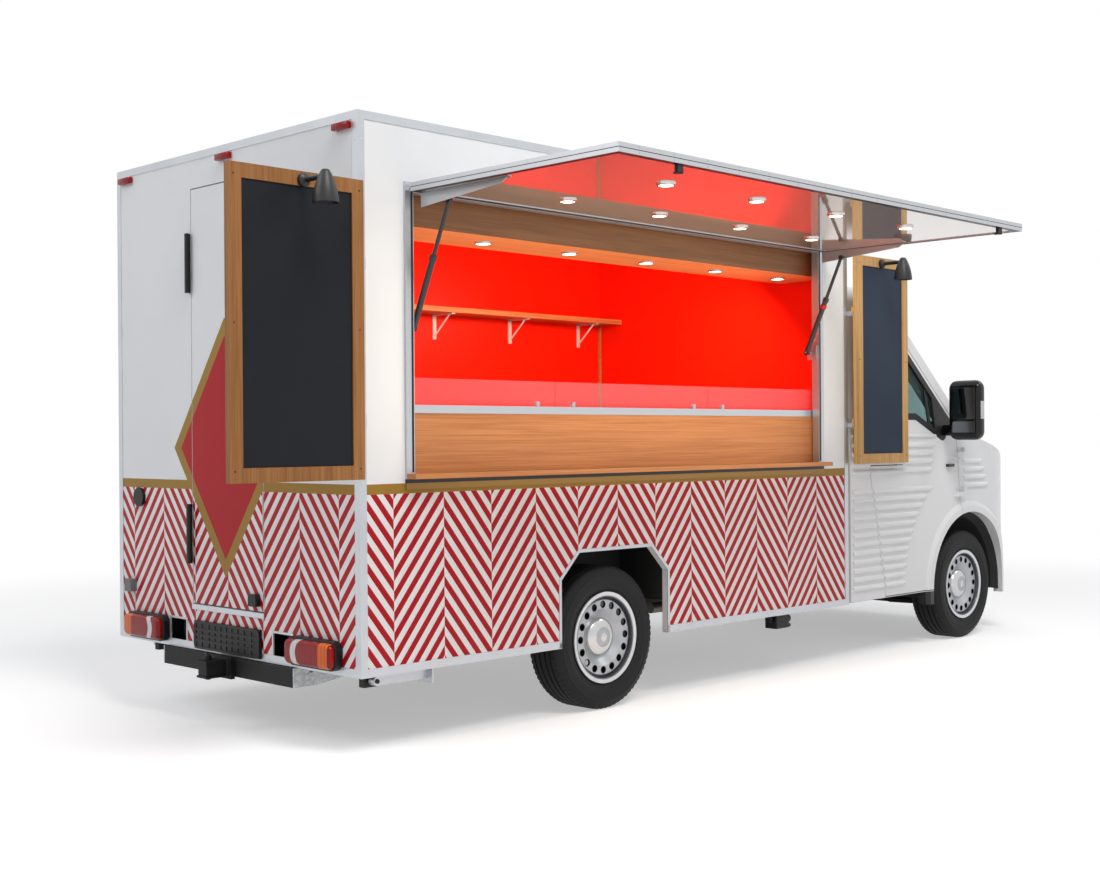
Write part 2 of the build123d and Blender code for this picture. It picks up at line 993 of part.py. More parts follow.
door_hinge_x = box_rear - door_hinge_out
door_hinge_y = door_left + door_clear / 2
with BuildPart() as rear_fittings:
    for level in (skirt_z + 404, skirt_z + 1682):
        rod(
            (door_hinge_x, door_hinge_y, level),
            (door_hinge_x, door_hinge_y, level + door_hinge_length),
            door_hinge_radius,
        )
        block(
            box_rear - door_hinge_out - 5,
            box_rear,
            door_hinge_y + 5,
            door_hinge_y + 17,
            level,
            level + door_hinge_length,
        )
    rod((box_rear, cap_y, skirt_z + 706), (box_rear - 16, cap_y, skirt_z + 706), 46)
    block(box_rear - 34, box_rear, catch_y - 30, catch_y + 30, skirt_z + 236, skirt_z + 296)
    block(
        box_rear - profile_thick - plate_depth,
        box_rear - profile_thick,
        -plate_width / 2,
        plate_width / 2,
        skirt_z + 8,
        skirt_z + 8 + plate_height,
    )
save(rear_fittings, "rear_fittings")

with BuildPart() as rear_lamps:
    for side in (1, -1):
        block(
            box_rear - profile_thick - lamp_depth,
            box_rear - profile_thick,
            side * lamp_y - lamp_width / 2,
            side * lamp_y + lamp_width / 2,
            lamp_bottom,
            lamp_bottom + lamp_height,
        )
    fillet(rear_lamps.edges().filter_by(Axis.X), 26)
    for marker in (-marker_y, 0, marker_y):
        block(
            box_rear - marker_size[0],
            box_rear,
            marker - marker_size[1] / 2,
            marker + marker_size[1] / 2,
            marker_z - marker_size[2] / 2,
            marker_z + marker_size[2] / 2,
        )
save(rear_lamps, "rear_lamps")

# Tow beam under the rear skirt with plates to the rails and the coupling jaw
hitch_bolt = 45
with BuildPart() as tow_bar:
    block(beam_rear, beam_front, -beam_half, beam_half, beam_bottom, beam_top - profile_thick)
    for side in (1, -1):
        block(
            box_rear + 50,
            beam_front + 120,
            side * (rail_y - 34),
            side * (rail_y + 34),
            beam_bottom + 20,
            rail_bottom,
        )
    block(beam_rear - 22, beam_rear, -80, 80, beam_bottom - 10, beam_bottom + 90)
    block(beam_rear - 120, beam_rear - 22, -34, 34, beam_bottom + 10, beam_bottom + 66)
    rod(
        (beam_rear - 90, 0, beam_bottom + 66),
        (beam_rear - 90, 0, beam_bottom + 92),
        17,
    )
    for bolt_y in (-hitch_bolt - 12, hitch_bolt + 12):
        for bolt_z in (beam_bottom + 8, beam_bottom + 72):
            rod(
                (beam_rear - 30, bolt_y, bolt_z),
                (beam_rear + 10, bolt_y, bolt_z),
                6.5,
                Mode.SUBTRACT,
            )
save(tow_bar, "tow_bar")

# Galley: counter cabinet, pelmet with soffit, wall shelf and serving ledge in wood
counter_bottom = arch_crest + 40
counter_top = worktop_z - worktop_thick
galley_rear = box_inner_rear + 20
galley_end = box_inner_front - 20
with BuildPart() as galley_woodwork:
    block(
        galley_rear,
        galley_end,
        galley_front,
        galley_front + panel_thick,
        counter_bottom,
        counter_top,
    )
    for end_x, foot_z in (
        (galley_rear, floor_top),
        (box_mid, counter_bottom),
        (galley_end - panel_thick, floor_top),
    ):
        block(
            end_x,
            end_x + panel_thick,
            galley_front,
            galley_front + worktop_depth - 40,
            foot_z,
            counter_top,
        )
    block(
        galley_rear,
        galley_end,
        galley_front,
        galley_front + worktop_depth - 40,
        counter_bottom,
        counter_bottom + panel_thick,
    )
    block(
        box_inner_rear,
        box_inner_front,
        pelmet_face,
        pelmet_face + panel_thick,
        pelmet_bottom,
        box_top - wall,
    )
    block(
        box_inner_rear,
        box_inner_front,
        pelmet_face,
        pelmet_face + soffit_depth,
        pelmet_bottom,
        pelmet_bottom + panel_thick,
    )
    block(
        box_inner_rear,
        box_inner_front,
        pelmet_face + soffit_depth - panel_thick,
        pelmet_face + soffit_depth,
        pelmet_bottom,
        box_top - wall,
    )
save(galley_woodwork, "galley_woodwork")

with BuildPart() as wall_shelf:
    block(
        shelf_rear,
        box_inner_front,
        inner_half - shelf_depth,
        inner_half,
        shelf_z,
        shelf_z + shelf_thick,
    )
    for n in range(shelf_bracket_count):
        bracket_x = shelf_bracket_first + n * shelf_bracket_pitch
        block(
            bracket_x - 12,
            bracket_x + 12,
            inner_half - 8,
            inner_half,
            shelf_z - 150,
            shelf_z,
        )
        block(
            bracket_x - 12,
            bracket_x + 12,
            inner_half - shelf_depth + 20,
            inner_half,
            shelf_z - 8,
            shelf_z,
        )
save(wall_shelf, "wall_shelf")

with BuildPart() as serving_ledge:
    block(
        window_rear + running_fit,
        window_front - running_fit,
        -half_width - ledge_out,
        -inner_half,
        window_sill,
        ledge_top,
    )
    block(
        window_rear - frame_width,
        window_front + frame_width,
        -half_width - ledge_out,
        -half_width - frame_proud,
        window_sill,
        ledge_top,
    )
save(serving_ledge, "serving_ledge")

with BuildPart() as worktop:
    block(
        galley_rear,
        galley_end,
        galley_front - 4,
        galley_front + worktop_depth,
        counter_top,
        worktop_z,
    )
save(worktop, "worktop")

with BuildPart() as counter_guard:
    block(
        galley_rear + 10,
        galley_end - 10,
        galley_front + 20,
        galley_front + 20 + guard_thick,
        worktop_z,
        worktop_z + guard_height,
    )
save(counter_guard, "counter_guard")

with BuildPart() as soffit_lamps:
    for n in range(soffit_lamp_count):
        lamp_x = soffit_lamp_first + n * soffit_lamp_pitch
        rod(
            (lamp_x, pelmet_face + 180, pelmet_bottom),
            (lamp_x, pelmet_face + 180, pelmet_bottom - 8),
            soffit_lamp_radius,
        )
save(soffit_lamps, "soffit_lamps")

# Menu boards: oak frame with recessed slate, moving hinge knuckles, bell lamp on an arm
for board_name, hinge_x, reach, board_width in boards:
    board_near = hinge_x + reach * board_edge_gap
    board_far = board_near + reach * board_width
    board_back = board_hinge_y - board_face_gap
    board_face = board_back - board_thick
    with BuildPart() as board:
        block(board_near, board_far, board_face, board_back, board_bottom, board_top)
        block(
            board_near + reach * board_frame,
            board_far - reach * board_frame,
            board_face - 5,
            board_face + board_recess,
            board_bottom + board_frame,
            board_top - board_frame,
            Mode.SUBTRACT,
        )
        for level in board_hinge_levels:
            rod(
                (hinge_x, board_hinge_y, level + running_fit),
                (hinge_x, board_hinge_y, level + knuckle_half),
                board_knuckle_radius,
            )
            block(
                hinge_x + reach * 2,
                board_near + reach * 4,
                board_hinge_y - 5,
                board_hinge_y,
                level + running_fit,
                level + knuckle_half,
            )
    save(board, board_name)

    lamp_centre = (board_near + board_far) / 2 - reach * 20
    arm_z = board_top - 36
    with BuildPart() as bell_lamp:
        rod((lamp_centre, board_face, arm_z), (lamp_centre, board_face - 20, arm_z), 26)
        rod((lamp_centre, board_face - 10, arm_z), (lamp_centre, board_face - bell_reach, arm_z), 11)
        bell_plane = Plane(
            origin=(lamp_centre, board_face - bell_reach, arm_z),
            x_dir=(1, 0, 0),
            z_dir=(0, -1, 0),
        )
        with BuildSketch(bell_plane):
            with BuildLine():
                Line((0, 24), (16, 24))
                ThreePointArc((16, 24), (40, -20), (bell_radius, -bell_height + 10))
                Line((bell_radius, -bell_height + 10), (bell_radius, -bell_height))
                Line((bell_radius, -bell_height), (0, -bell_height))
                Line((0, -bell_height), (0, 24))
            make_face()
        revolve(axis=Axis((lamp_centre, board_face - bell_reach, arm_z), (0, 0, 1)))
    save(bell_lamp, board_name + "_lamp")

# Cab body: side view, front view and plan view prisms intersected, then hollowed
side_points = (
    (cab_rear, cab_sill),
    (cab_rear, roof_z - 15),
    (screen_head_x, roof_z),
    (screen_base_x, screen_base_z),
    (bonnet_edge_x, bonnet_edge_z),
    (front_face_x, front_face_z),
    (front_low_x, front_low_z),
    (front_low_x - 50, nose_bottom),
    (bulkhead_x, nose_bottom),
    (bulkhead_x - 50, cab_sill),
)
side_radii = (0, 60, 170, 160, 190, 260, 60, 30, 0, 0)
front_points = (
    (-cab_half, 150),
    (cab_half, 150),
    (cab_half, belt_z),
    (roof_half, roof_z + 20),
    (-roof_half, roof_z + 20),
    (-cab_half, belt_z),
)
front_radii = (0, 0, 400, 180, 180, 400)
plan_points = (
    (cab_rear - 20, -cab_half),
    (cab_nose, -cab_half),
    (cab_nose, cab_half),
    (cab_rear - 20, cab_half),
)
plan_radii = (0, cab_corner, cab_corner, 0)

with BuildPart() as cab_outer:
    with BuildSketch(Plane.XZ):
        with BuildLine():
            FilletPolyline(*side_points, radius=side_radii, close=True)
        make_face()
    extrude(amount=cab_half + 40, both=True)
    with BuildSketch(Plane.YZ):
        with BuildLine():
            FilletPolyline(*front_points, radius=front_radii, close=True)
        make_face()
    extrude(amount=4000, mode=Mode.INTERSECT)
    with BuildSketch(Plane.XY):
        with BuildLine():
            FilletPolyline(*plan_points, radius=plan_radii, close=True)
        make_face()
    extrude(amount=4000, mode=Mode.INTERSECT)

with BuildPart() as cab_inner:
    with BuildSketch(Plane.XZ):
        with BuildLine():
            FilletPolyline(*side_points, radius=side_radii, close=True)
        make_face()
        offset(amount=-cab_wall, mode=Mode.REPLACE)
        with Locations(((cab_rear + cab_wall + front_low_x - 120) / 2, 350)):
            Rectangle(front_low_x - 120 - cab_rear - cab_wall, 500)
    extrude(amount=cab_half + 40, both=True)
    with BuildSketch(Plane.YZ):
        with BuildLine():
            FilletPolyline(*front_points, radius=front_radii, close=True)
        make_face()
        offset(amount=-cab_wall, mode=Mode.REPLACE)
        with Locations((0, 300)):
            Rectangle(2 * (cab_half - cab_wall), 500)
    extrude(amount=4000, mode=Mode.INTERSECT)
    with BuildSketch(Plane.XY):
        with BuildLine():
            FilletPolyline(*plan_points, radius=plan_radii, close=True)
        make_face()
        offset(amount=-cab_wall, mode=Mode.REPLACE)
    extrude(amount=4000, mode=Mode.INTERSECT)

with BuildPart() as flares:
    for side in (1, -1):
        rod(
            (front_axle_x, side * (cab_half - 160), axle_z),
            (front_axle_x, side * (cab_half + flare_proud), axle_z),
            flare_radius,
        )
    chamfer(flares.edges().filter_by(GeomType.CIRCLE), flare_proud, flare_proud * 2)
    with BuildSketch(Plane.XY):
        with BuildLine():
            FilletPolyline(*plan_points, radius=plan_radii, close=True)
        make_face()
        offset(amount=flare_proud, mode=Mode.REPLACE)
    extrude(amount=4000, mode=Mode.INTERSECT)

with BuildPart() as cab_hull:
    add(cab_outer.part)
    add(flares.part)
    for side in (1, -1):
        for n in range(rib_count):
            rib_z = rib_first_z + n * rib_pitch
            rib_end = front_axle_x - math.sqrt(rib_fan_radius**2 - (rib_z - axle_z) ** 2)
            rod(
                (cab_rear + 20, side * (cab_half + rib_proud - rib_radius), rib_z),
                (rib_end, side * (cab_half + rib_proud - rib_radius), rib_z),
                rib_radius,
            )
        for n in range(belt_rib_count):
            rib_z = belt_rib_first_z + n * rib_pitch
            rod(
                (cab_rear + 20, side * (cab_half + rib_proud - rib_radius), rib_z),
                (bulkhead_x + n * 14, side * (cab_half + rib_proud - rib_radius), rib_z),
                rib_radius,
            )
        for n in range(fender_rib_count):
            rib_z = fender_rib_first_z + n * rib_pitch
            rod(
                (split_x + 30, side * (cab_half + rib_proud - rib_radius), rib_z),
                (front_axle_x + 235 - n * 25, side * (cab_half + rib_proud - rib_radius), rib_z),
                rib_radius,
            )
    add(cab_inner.part, mode=Mode.SUBTRACT)
    block(cab_rear, cab_nose + 300, -cab_half - 200, cab_half + 200, -400, nose_bottom, Mode.SUBTRACT)
    for side in (1, -1):
        rod(
            (front_axle_x, side * (cab_half - 120), axle_z),
            (front_axle_x, side * (cab_half + 120), axle_z),
            cab_arch_radius,
            Mode.SUBTRACT,
        )
        block(
            front_axle_x - cab_arch_radius,
            front_axle_x + cab_arch_radius,
            side * (cab_half - 120),
            side * (cab_half + 120),
            0,
            axle_z,
            Mode.SUBTRACT,
        )

# Windscreen, set in a groove of the sloping front
screen_run = math.hypot(screen_base_x - screen_head_x, roof_z - screen_base_z)
screen_up = Vector(screen_head_x - screen_base_x, 0, roof_z - screen_base_z).normalized()
screen_out = Vector(screen_up.Z, 0, -screen_up.X)
screen_mid = Vector((screen_head_x + screen_base_x) / 2, 0, (roof_z + screen_base_z) / 2)
screen_low_half = 800
screen_high_half = 735
screen_points = (
    (-screen_low_half, -screen_run / 2 + 110),
    (screen_low_half, -screen_run / 2 + 110),
    (screen_high_half, screen_run / 2 - 130),
    (-screen_high_half, screen_run / 2 - 130),
)
screen_plane = Plane(origin=screen_mid, x_dir=(0, 1, 0), z_dir=screen_out)
with BuildPart() as windscreen:
    with BuildSketch(screen_plane.offset(-glass_depth - running_fit)):
        with BuildLine():
            FilletPolyline(*screen_points, radius=70, close=True)
        make_face()
        offset(amount=glass_bite - running_fit, mode=Mode.REPLACE)
    extrude(amount=-(glass_thick - 2 * running_fit))
save(windscreen, "windscreen")

with BuildPart() as screen_cut:
    with BuildSketch(screen_plane.offset(60)):
        with BuildLine():
            FilletPolyline(*screen_points, radius=70, close=True)
        make_face()
    extrude(amount=-200)
    with BuildSketch(screen_plane.offset(-glass_depth)):
        with BuildLine():
            FilletPolyline(*screen_points, radius=70, close=True)
        make_face()
        offset(amount=glass_bite, mode=Mode.REPLACE)
    extrude(amount=-glass_thick)

# Cab doors: the hull inside the door outline, with a glazed window on the leaning side
lean = Vector(0, cab_half - roof_half, roof_z + 20 - belt_z).normalized()
for side_name, side in (("left", 1), ("right", -1)):
    glass_normal = Vector(0, side * lean.Z, lean.Y)
    glass_plane = Plane(origin=(0, side * cab_half, belt_z), x_dir=(1, 0, 0), z_dir=glass_normal)
    up_sign = 1 if glass_plane.y_dir.Z > 0 else -1
    pane_points = [(x, up_sign * (z - belt_z) / lean.Z) for x, z in cab_window_outline]
    with BuildPart() as door_glass:
        with BuildSketch(glass_plane.offset(-glass_depth - running_fit)):
            with BuildLine():
                FilletPolyline(*pane_points, radius=18, close=True)
            make_face()
            offset(amount=glass_bite - running_fit, mode=Mode.REPLACE)
        extrude(amount=-(glass_thick - 2 * running_fit))
    save(door_glass, "cab_door_glass_" + side_name)

    with BuildPart() as cab_door:
        with BuildSketch(Plane.XZ.offset(-side * (cab_half + 60))):
            with BuildLine():
                Polyline(*cab_door_outline, close=True)
            make_face()
            offset(amount=-panel_gap / 2, mode=Mode.REPLACE)
        extrude(amount=side * 260)
        add(cab_hull.part, mode=Mode.INTERSECT)
        with BuildSketch(Plane.XZ.offset(-side * (cab_half + 60))):
            with BuildLine():
                FilletPolyline(*cab_window_outline, radius=18, close=True)
            make_face()
        extrude(amount=side * 260, mode=Mode.SUBTRACT)
        with BuildSketch(glass_plane.offset(-glass_depth)):
            with BuildLine():
                FilletPolyline(*pane_points, radius=18, close=True)
            make_face()
            offset(amount=glass_bite, mode=Mode.REPLACE)
        extrude(amount=-glass_thick, mode=Mode.SUBTRACT)
        block(
            front_axle_x - 295,
            front_axle_x - 225,
            side * (cab_half - 6),
            side * (cab_half + 24),
            1122,
            1140,
        )
        for level in cab_hinge_levels:
            rod(
                (cab_hinge_x, side * cab_hinge_out, level - cab_hinge_half),
                (cab_hinge_x, side * cab_hinge_out, level),
                cab_hinge_radius,
            )
            block(
                cab_hinge_x - 80,
                cab_hinge_x,
                side * (cab_hinge_out - 5),
                side * (cab_hinge_out + 5),
                level - cab_hinge_half,
                level,
            )
            block(
                cab_hinge_x - 80,
                cab_hinge_x - 62,
                side * (cab_half - 4),
                side * cab_hinge_out,
                level - cab_hinge_half,
                level,
            )
    save(cab_door, "cab_door_" + side_name)

    with BuildPart() as mirror:
        block(
            mirror_x - mirror_depth / 2,
            mirror_x + mirror_depth / 2,
            side * (cab_half + mirror_out),
            side * (cab_half + mirror_out + mirror_width),
            mirror_z - mirror_half_height,
            mirror_z + mirror_half_height,
        )
        fillet(mirror.edges(), 34)
        block(
            mirror_x - 10,
            mirror_x + 60,
            side * (cab_half - 2),
            side * (cab_half + mirror_out + 30),
            mirror_z - 160,
            mirror_z - 90,
        )
    save(mirror, "mirror_" + side_name)

# Nose: front fenders and front panel ahead of the doors, without the bonnet
nose_region = (
    (split_x, 100),
    (split_x, 1275),
    (bonnet_rear - 50, 1275),
    (bonnet_rear - 50, 1500),
    (cab_nose + 300, 1500),
    (cab_nose + 300, 100),
)
bonnet_edge = Vector(bonnet_edge_reach, -bonnet_edge_drop).normalized()
bonnet_inner = Vector(bonnet_hinge_x, bonnet_hinge_z) + bonnet_edge * (
    math.hypot(bonnet_edge_reach, bonnet_edge_drop) - 110
)
bonnet_outer = bonnet_inner + bonnet_edge * 220
bonnet_region = (
    (bonnet_rear, screen_base_z + 200),
    (bonnet_rear, screen_base_z - 150),
    (bonnet_inner.X, bonnet_inner.Y),
    (bonnet_outer.X, bonnet_outer.Y),
    (bonnet_outer.X, screen_base_z + 200),
)
with BuildPart() as nose:
    with BuildSketch(Plane.XZ):
        with BuildLine():
            Polyline(*nose_region, close=True)
        make_face()
    extrude(amount=1200, both=True)
    add(cab_hull.part, mode=Mode.INTERSECT)
    with BuildSketch(Plane.XZ):
        with BuildLine():
            Polyline(*bonnet_region, close=True)
        make_face()
        offset(amount=panel_gap / 2, mode=Mode.REPLACE)
    extrude(amount=bonnet_half + panel_gap / 2, both=True, mode=Mode.SUBTRACT)
    for hinge_y in (-bonnet_hinge_y, bonnet_hinge_y):
        rod(
            (bonnet_hinge_x, hinge_y, bonnet_hinge_z),
            (bonnet_hinge_x, hinge_y + bonnet_hinge_length, bonnet_hinge_z),
            bonnet_hinge_radius,
        )
        block(
            bonnet_hinge_x - 34,
            bonnet_hinge_x,
            hinge_y,
            hinge_y + bonnet_hinge_length,
            bonnet_hinge_z - 30,
            bonnet_hinge_z + 4,
        )
    for side in (1, -1):
        for level in cab_hinge_levels:
            rod(
                (cab_hinge_x, side * cab_hinge_out, level + running_fit),
                (cab_hinge_x, side * cab_hinge_out, level + cab_hinge_half),
                cab_hinge_radius,
            )
            block(
                cab_hinge_x,
                cab_hinge_x + 26,
                side * (cab_half - 4),
                side * (cab_hinge_out + 5),
                level + running_fit,
                level + cab_hinge_half,
            )
save(nose, "nose")

with BuildPart() as bonnet:
    with BuildSketch(Plane.XZ):
        with BuildLine():
            Polyline(*bonnet_region, close=True)
        make_face()
        offset(amount=-panel_gap / 2, mode=Mode.REPLACE)
    extrude(amount=bonnet_half - panel_gap / 2, both=True)
    add(cab_hull.part, mode=Mode.INTERSECT)
    for hinge_y in (-bonnet_hinge_y, bonnet_hinge_y):
        knuckle_start = hinge_y + bonnet_hinge_length + running_fit
        knuckle_end = knuckle_start + bonnet_hinge_length
        rod(
            (bonnet_hinge_x, knuckle_start, bonnet_hinge_z),
            (bonnet_hinge_x, knuckle_end, bonnet_hinge_z),
            bonnet_hinge_radius,
        )
        block(
            bonnet_hinge_x,
            bonnet_hinge_x + 40,
            knuckle_start,
            knuckle_end,
            bonnet_hinge_z - 8,
            bonnet_hinge_z + 4,
        )
        block(
            bonnet_hinge_x + 14,
            bonnet_hinge_x + 40,
            knuckle_start,
            knuckle_end,
            bonnet_hinge_z - 34,
            bonnet_hinge_z + 4,
        )
save(bonnet, "bonnet")

# Cab body behind the nose: roof, pillars, rear wall, floor and bulkhead
with BuildPart() as cab_body:
    add(cab_hull.part)
    with BuildSketch(Plane.XZ):
        with BuildLine():
            Polyline(*nose_region, close=True)
        make_face()
    extrude(amount=1200, both=True, mode=Mode.SUBTRACT)
    for side in (1, -1):
        with BuildSketch(Plane.XZ.offset(-side * (cab_half + 60))):
            with BuildLine():
                Polyline(*cab_door_outline, close=True)
            make_face()
            offset(amount=panel_gap / 2, mode=Mode.REPLACE)
        extrude(amount=side * 260, mode=Mode.SUBTRACT)
    add(screen_cut.part, mode=Mode.SUBTRACT)
    block(cab_rear - 5, cab_rear + 60, -cab_half + cab_wall, cab_half - cab_wall, 0, rail_top, Mode.SUBTRACT)
    block(cab_rear + 30, bulkhead_x, -925, 925, rail_top, cab_floor_top)
    block(bulkhead_x, bulkhead_x + bulkhead_thick, -925, 925, rail_top, dash_z)
    block(bulkhead_x, screen_base_x - 60, -880, 880, dash_z - 25, dash_z)
    block(screen_base_x - 85, screen_base_x - 60, -880, 880, dash_z - 25, screen_base_z - 25)
save(cab_body, "cab_body")

# Grille: a barred frame standing on the front panel
with BuildPart() as grille:
    with BuildSketch(Plane.XZ):
        with BuildLine():
            FilletPolyline(*side_points, radius=side_radii, close=True)
        make_face()
        offset(amount=grille_proud, mode=Mode.REPLACE)
        with BuildLine():
            FilletPolyline(*side_points, radius=side_radii, close=True)
        make_face(mode=Mode.SUBTRACT)
        with Locations((cab_nose - 75, (grille_bottom + grille_top) / 2)):
            Rectangle(400, grille_top - grille_bottom, mode=Mode.INTERSECT)
    extrude(amount=grille_half, both=True)
    bar_pitch = (grille_top - grille_bottom) / grille_bars
    for n in range(grille_bars):
        slot_z = grille_bottom + (n + 0.5) * bar_pitch
        for slot_y in (-grille_half / 2, grille_half / 2):
            with Locations((cab_nose - 75, slot_y, slot_z)):
                Box(600, grille_half - 40, bar_pitch * 0.5, mode=Mode.SUBTRACT)
save(grille, "grille")

with BuildPart() as headlamps:
    for side in (1, -1):
        rod(
            (headlamp_rear, side * headlamp_y, headlamp_z),
            (headlamp_front, side * headlamp_y, headlamp_z),
            headlamp_radius,
        )
    fillet(headlamps.edges().group_by(Axis.X)[-1], 30)
    add(cab_outer.part, mode=Mode.SUBTRACT)
save(headlamps, "headlamps")

# Cab interior: dashboard with steering wheel, and the seat row
with BuildPart() as dashboard:
    with BuildSketch(Plane.XZ):
        with BuildLine():
            Polyline(
                (dash_rear, dash_z),
                (screen_base_x - 100, dash_z),
                (screen_base_x - 100, 1230),
                (dash_rear + 150, 1260),
                (dash_rear, 1150),
                close=True,
            )
        make_face()
    extrude(amount=850, both=True)
    rod((dash_rear + 20, 420, 1114), (dash_rear - 110, 420, 1192), 22)
    column = Vector(-100, 0, 60).normalized()
    hub = Vector(dash_rear - 105, 420, 1190)
    with BuildSketch(Plane(origin=hub, x_dir=(0, 1, 0), z_dir=column)):
        Circle(190)
        Circle(166, mode=Mode.SUBTRACT)
        Rectangle(350, 40)
        Circle(60)
    extrude(amount=22)
save(dashboard, "dashboard")

seat_rear = cab_rear + 115
with BuildPart() as seats:
    for seat_y, seat_half in ((450, 250), (-330, 430)):
        block(seat_rear, seat_rear + 490, seat_y - seat_half, seat_y + seat_half, 760, 880)
        block(
            seat_rear + 20,
            seat_rear + 460,
            seat_y - seat_half + 40,
            seat_y + seat_half - 40,
            cab_floor_top,
            760,
        )
        with BuildSketch(Plane.XZ.offset(-(seat_y - seat_half))):
            with BuildLine():
                Polyline(
                    (seat_rear + 10, 870),
                    (seat_rear + 130, 870),
                    (seat_rear + 40, 1420),
                    (seat_rear - 50, 1420),
                    close=True,
                )
            make_face()
        extrude(amount=-2 * seat_half)
save(seats, "seats")
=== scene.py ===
import math

import bmesh
import bpy
from mathutils import Matrix, Vector


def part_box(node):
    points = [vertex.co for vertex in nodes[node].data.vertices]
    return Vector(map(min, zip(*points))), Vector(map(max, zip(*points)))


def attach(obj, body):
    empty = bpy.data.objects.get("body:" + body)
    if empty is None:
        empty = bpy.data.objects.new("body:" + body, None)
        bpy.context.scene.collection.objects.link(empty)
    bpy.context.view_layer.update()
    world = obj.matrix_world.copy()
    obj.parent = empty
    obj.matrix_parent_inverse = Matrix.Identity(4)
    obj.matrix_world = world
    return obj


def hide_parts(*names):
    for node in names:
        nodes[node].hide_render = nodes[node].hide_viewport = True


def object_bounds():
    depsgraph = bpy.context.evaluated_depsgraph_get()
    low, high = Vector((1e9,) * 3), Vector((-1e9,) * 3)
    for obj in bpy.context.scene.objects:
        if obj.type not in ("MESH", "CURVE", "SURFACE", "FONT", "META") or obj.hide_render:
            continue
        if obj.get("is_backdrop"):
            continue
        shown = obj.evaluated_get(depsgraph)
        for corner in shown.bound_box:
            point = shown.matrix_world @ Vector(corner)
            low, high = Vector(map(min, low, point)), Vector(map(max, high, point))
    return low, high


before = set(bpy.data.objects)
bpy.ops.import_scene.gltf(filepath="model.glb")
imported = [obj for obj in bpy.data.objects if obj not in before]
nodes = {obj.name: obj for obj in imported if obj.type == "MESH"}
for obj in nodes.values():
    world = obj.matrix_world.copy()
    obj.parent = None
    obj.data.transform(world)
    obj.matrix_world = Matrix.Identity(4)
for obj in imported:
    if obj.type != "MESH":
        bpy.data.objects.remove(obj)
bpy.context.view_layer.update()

# Tyres: moulded black rubber on 16 inch rims, with four round grooves and cut shoulders.
# Each is turned from one section, and the cuts across its shoulders are steps of that turning.


class Wire:
    """A node socket; arithmetic on it adds Math nodes, and add() adds any other node."""

    def __init__(self, tree, socket=None):
        self.tree = tree
        self.socket = socket

    def add(self, kind, settings=None, inputs=None, out=0):
        node = self.tree.nodes.new("ShaderNode" + kind)
        for key, value in (settings or {}).items():
            if key == "stops":
                ramp = node.color_ramp
                while len(ramp.elements) < len(value):
                    ramp.elements.new(1.0)
                for element, (stop, tint) in zip(ramp.elements, value):
                    element.position = stop
                    element.color = tint
            else:
                setattr(node, key, value)
        for key, value in (inputs or {}).items():
            if isinstance(value, Wire):
                self.tree.links.new(value.socket, node.inputs[key])
            else:
                node.inputs[key].default_value = value
        return Wire(self.tree, node.outputs[out] if node.outputs else None)

    def math(self, operation, *values):
        return self.add("Math", {"operation": operation}, dict(enumerate(values)))

    def __add__(self, other):
        return self.math("ADD", self, other)

    def __sub__(self, other):
        return self.math("SUBTRACT", self, other)

    def __rsub__(self, other):
        return self.math("SUBTRACT", other, self)

    def __mul__(self, other):
        return self.math("MULTIPLY", self, other)

    def __truediv__(self, other):
        return self.math("DIVIDE", self, other)

    def __gt__(self, other):
        return self.math("GREATER_THAN", self, other)

    def __lt__(self, other):
        return self.math("LESS_THAN", self, other)

    __radd__ = __add__
    __rmul__ = __mul__


def colour(red, green, lit_slate):
    """A colour as read off a picture, 0 to 255 a channel, in the linear values a socket takes."""
    shares = [value / 255 for value in (red, green, lit_slate)]
    return (*[s / 12.92 if s < 0.04045 else ((s + 0.055) / 1.055) ** 2.4 for s in shares], 1.0)


def position(wire):
    """The piece's own place in metres as (vector, x, y, z)."""
    place = wire.add("TexCoord", out="Object")
    return place, *[wire.add("SeparateXYZ", None, {0: place}, axis) for axis in range(3)]


def noise(wire, place, scale, detail=3.0, roughness=0.5):
    return wire.add(
        "TexNoise",
        None,
        {"Vector": place, "Scale": scale, "Detail": detail, "Roughness": roughness},
    )


def mixed(wire, share, first, second):
    return wire.add("Mix", {"data_type": "RGBA"}, {"Factor": share, 6: first, 7: second}, out=2)


def between(wire, value, low, high):
    """1 where a value lies between two limits."""
    return (value > low) * (value < high)


def bump(wire, height, strength, distance=0.001):
    return wire.add("Bump", None, {"Height": height, "Strength": strength, "Distance": distance})


def material(name, recipe, **constants):
    """A Principled material: recipe(wire) gives what varies, constants sit on the sockets."""
    made = bpy.data.materials.new(name)
    made.use_nodes = True
    made.node_tree.nodes.clear()
    wire = Wire(made.node_tree)
    inputs = {
        key.replace("_", " ").title().replace("Ior", "IOR"): v for key, v in constants.items()
    }
    inputs.update(recipe(wire))
    shader = wire.add("BsdfPrincipled", None, inputs)
    wire.add("OutputMaterial", None, {"Surface": shader})
    return made


def piece(name, mesh, body, finish=None, stands_for=(), smooth=None):
    """Sets a finished mesh on a body; it may stand for CAD nodes."""
    if finish:
        mesh.materials.append(finish)
    if smooth:
        mesh.shade_smooth()
        mesh.set_sharp_from_angle(angle=math.radians(smooth))
    made = bpy.data.objects.new(name, mesh)
    bpy.context.scene.collection.objects.link(made)
    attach(made, body)
    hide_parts(*stands_for)
    return made


def closed_mesh(name, vertices, faces):
    """A mesh with doubles merged and its faces turned outwards."""
    mesh = bpy.data.meshes.new(name)
    mesh.from_pydata(vertices, [], faces)
    work = bmesh.new()
    work.from_mesh(mesh)
    bmesh.ops.remove_doubles(work, verts=work.verts, dist=1e-6)
    bmesh.ops.recalc_face_normals(work, faces=work.faces)
    work.to_mesh(mesh)
    work.free()
    return mesh


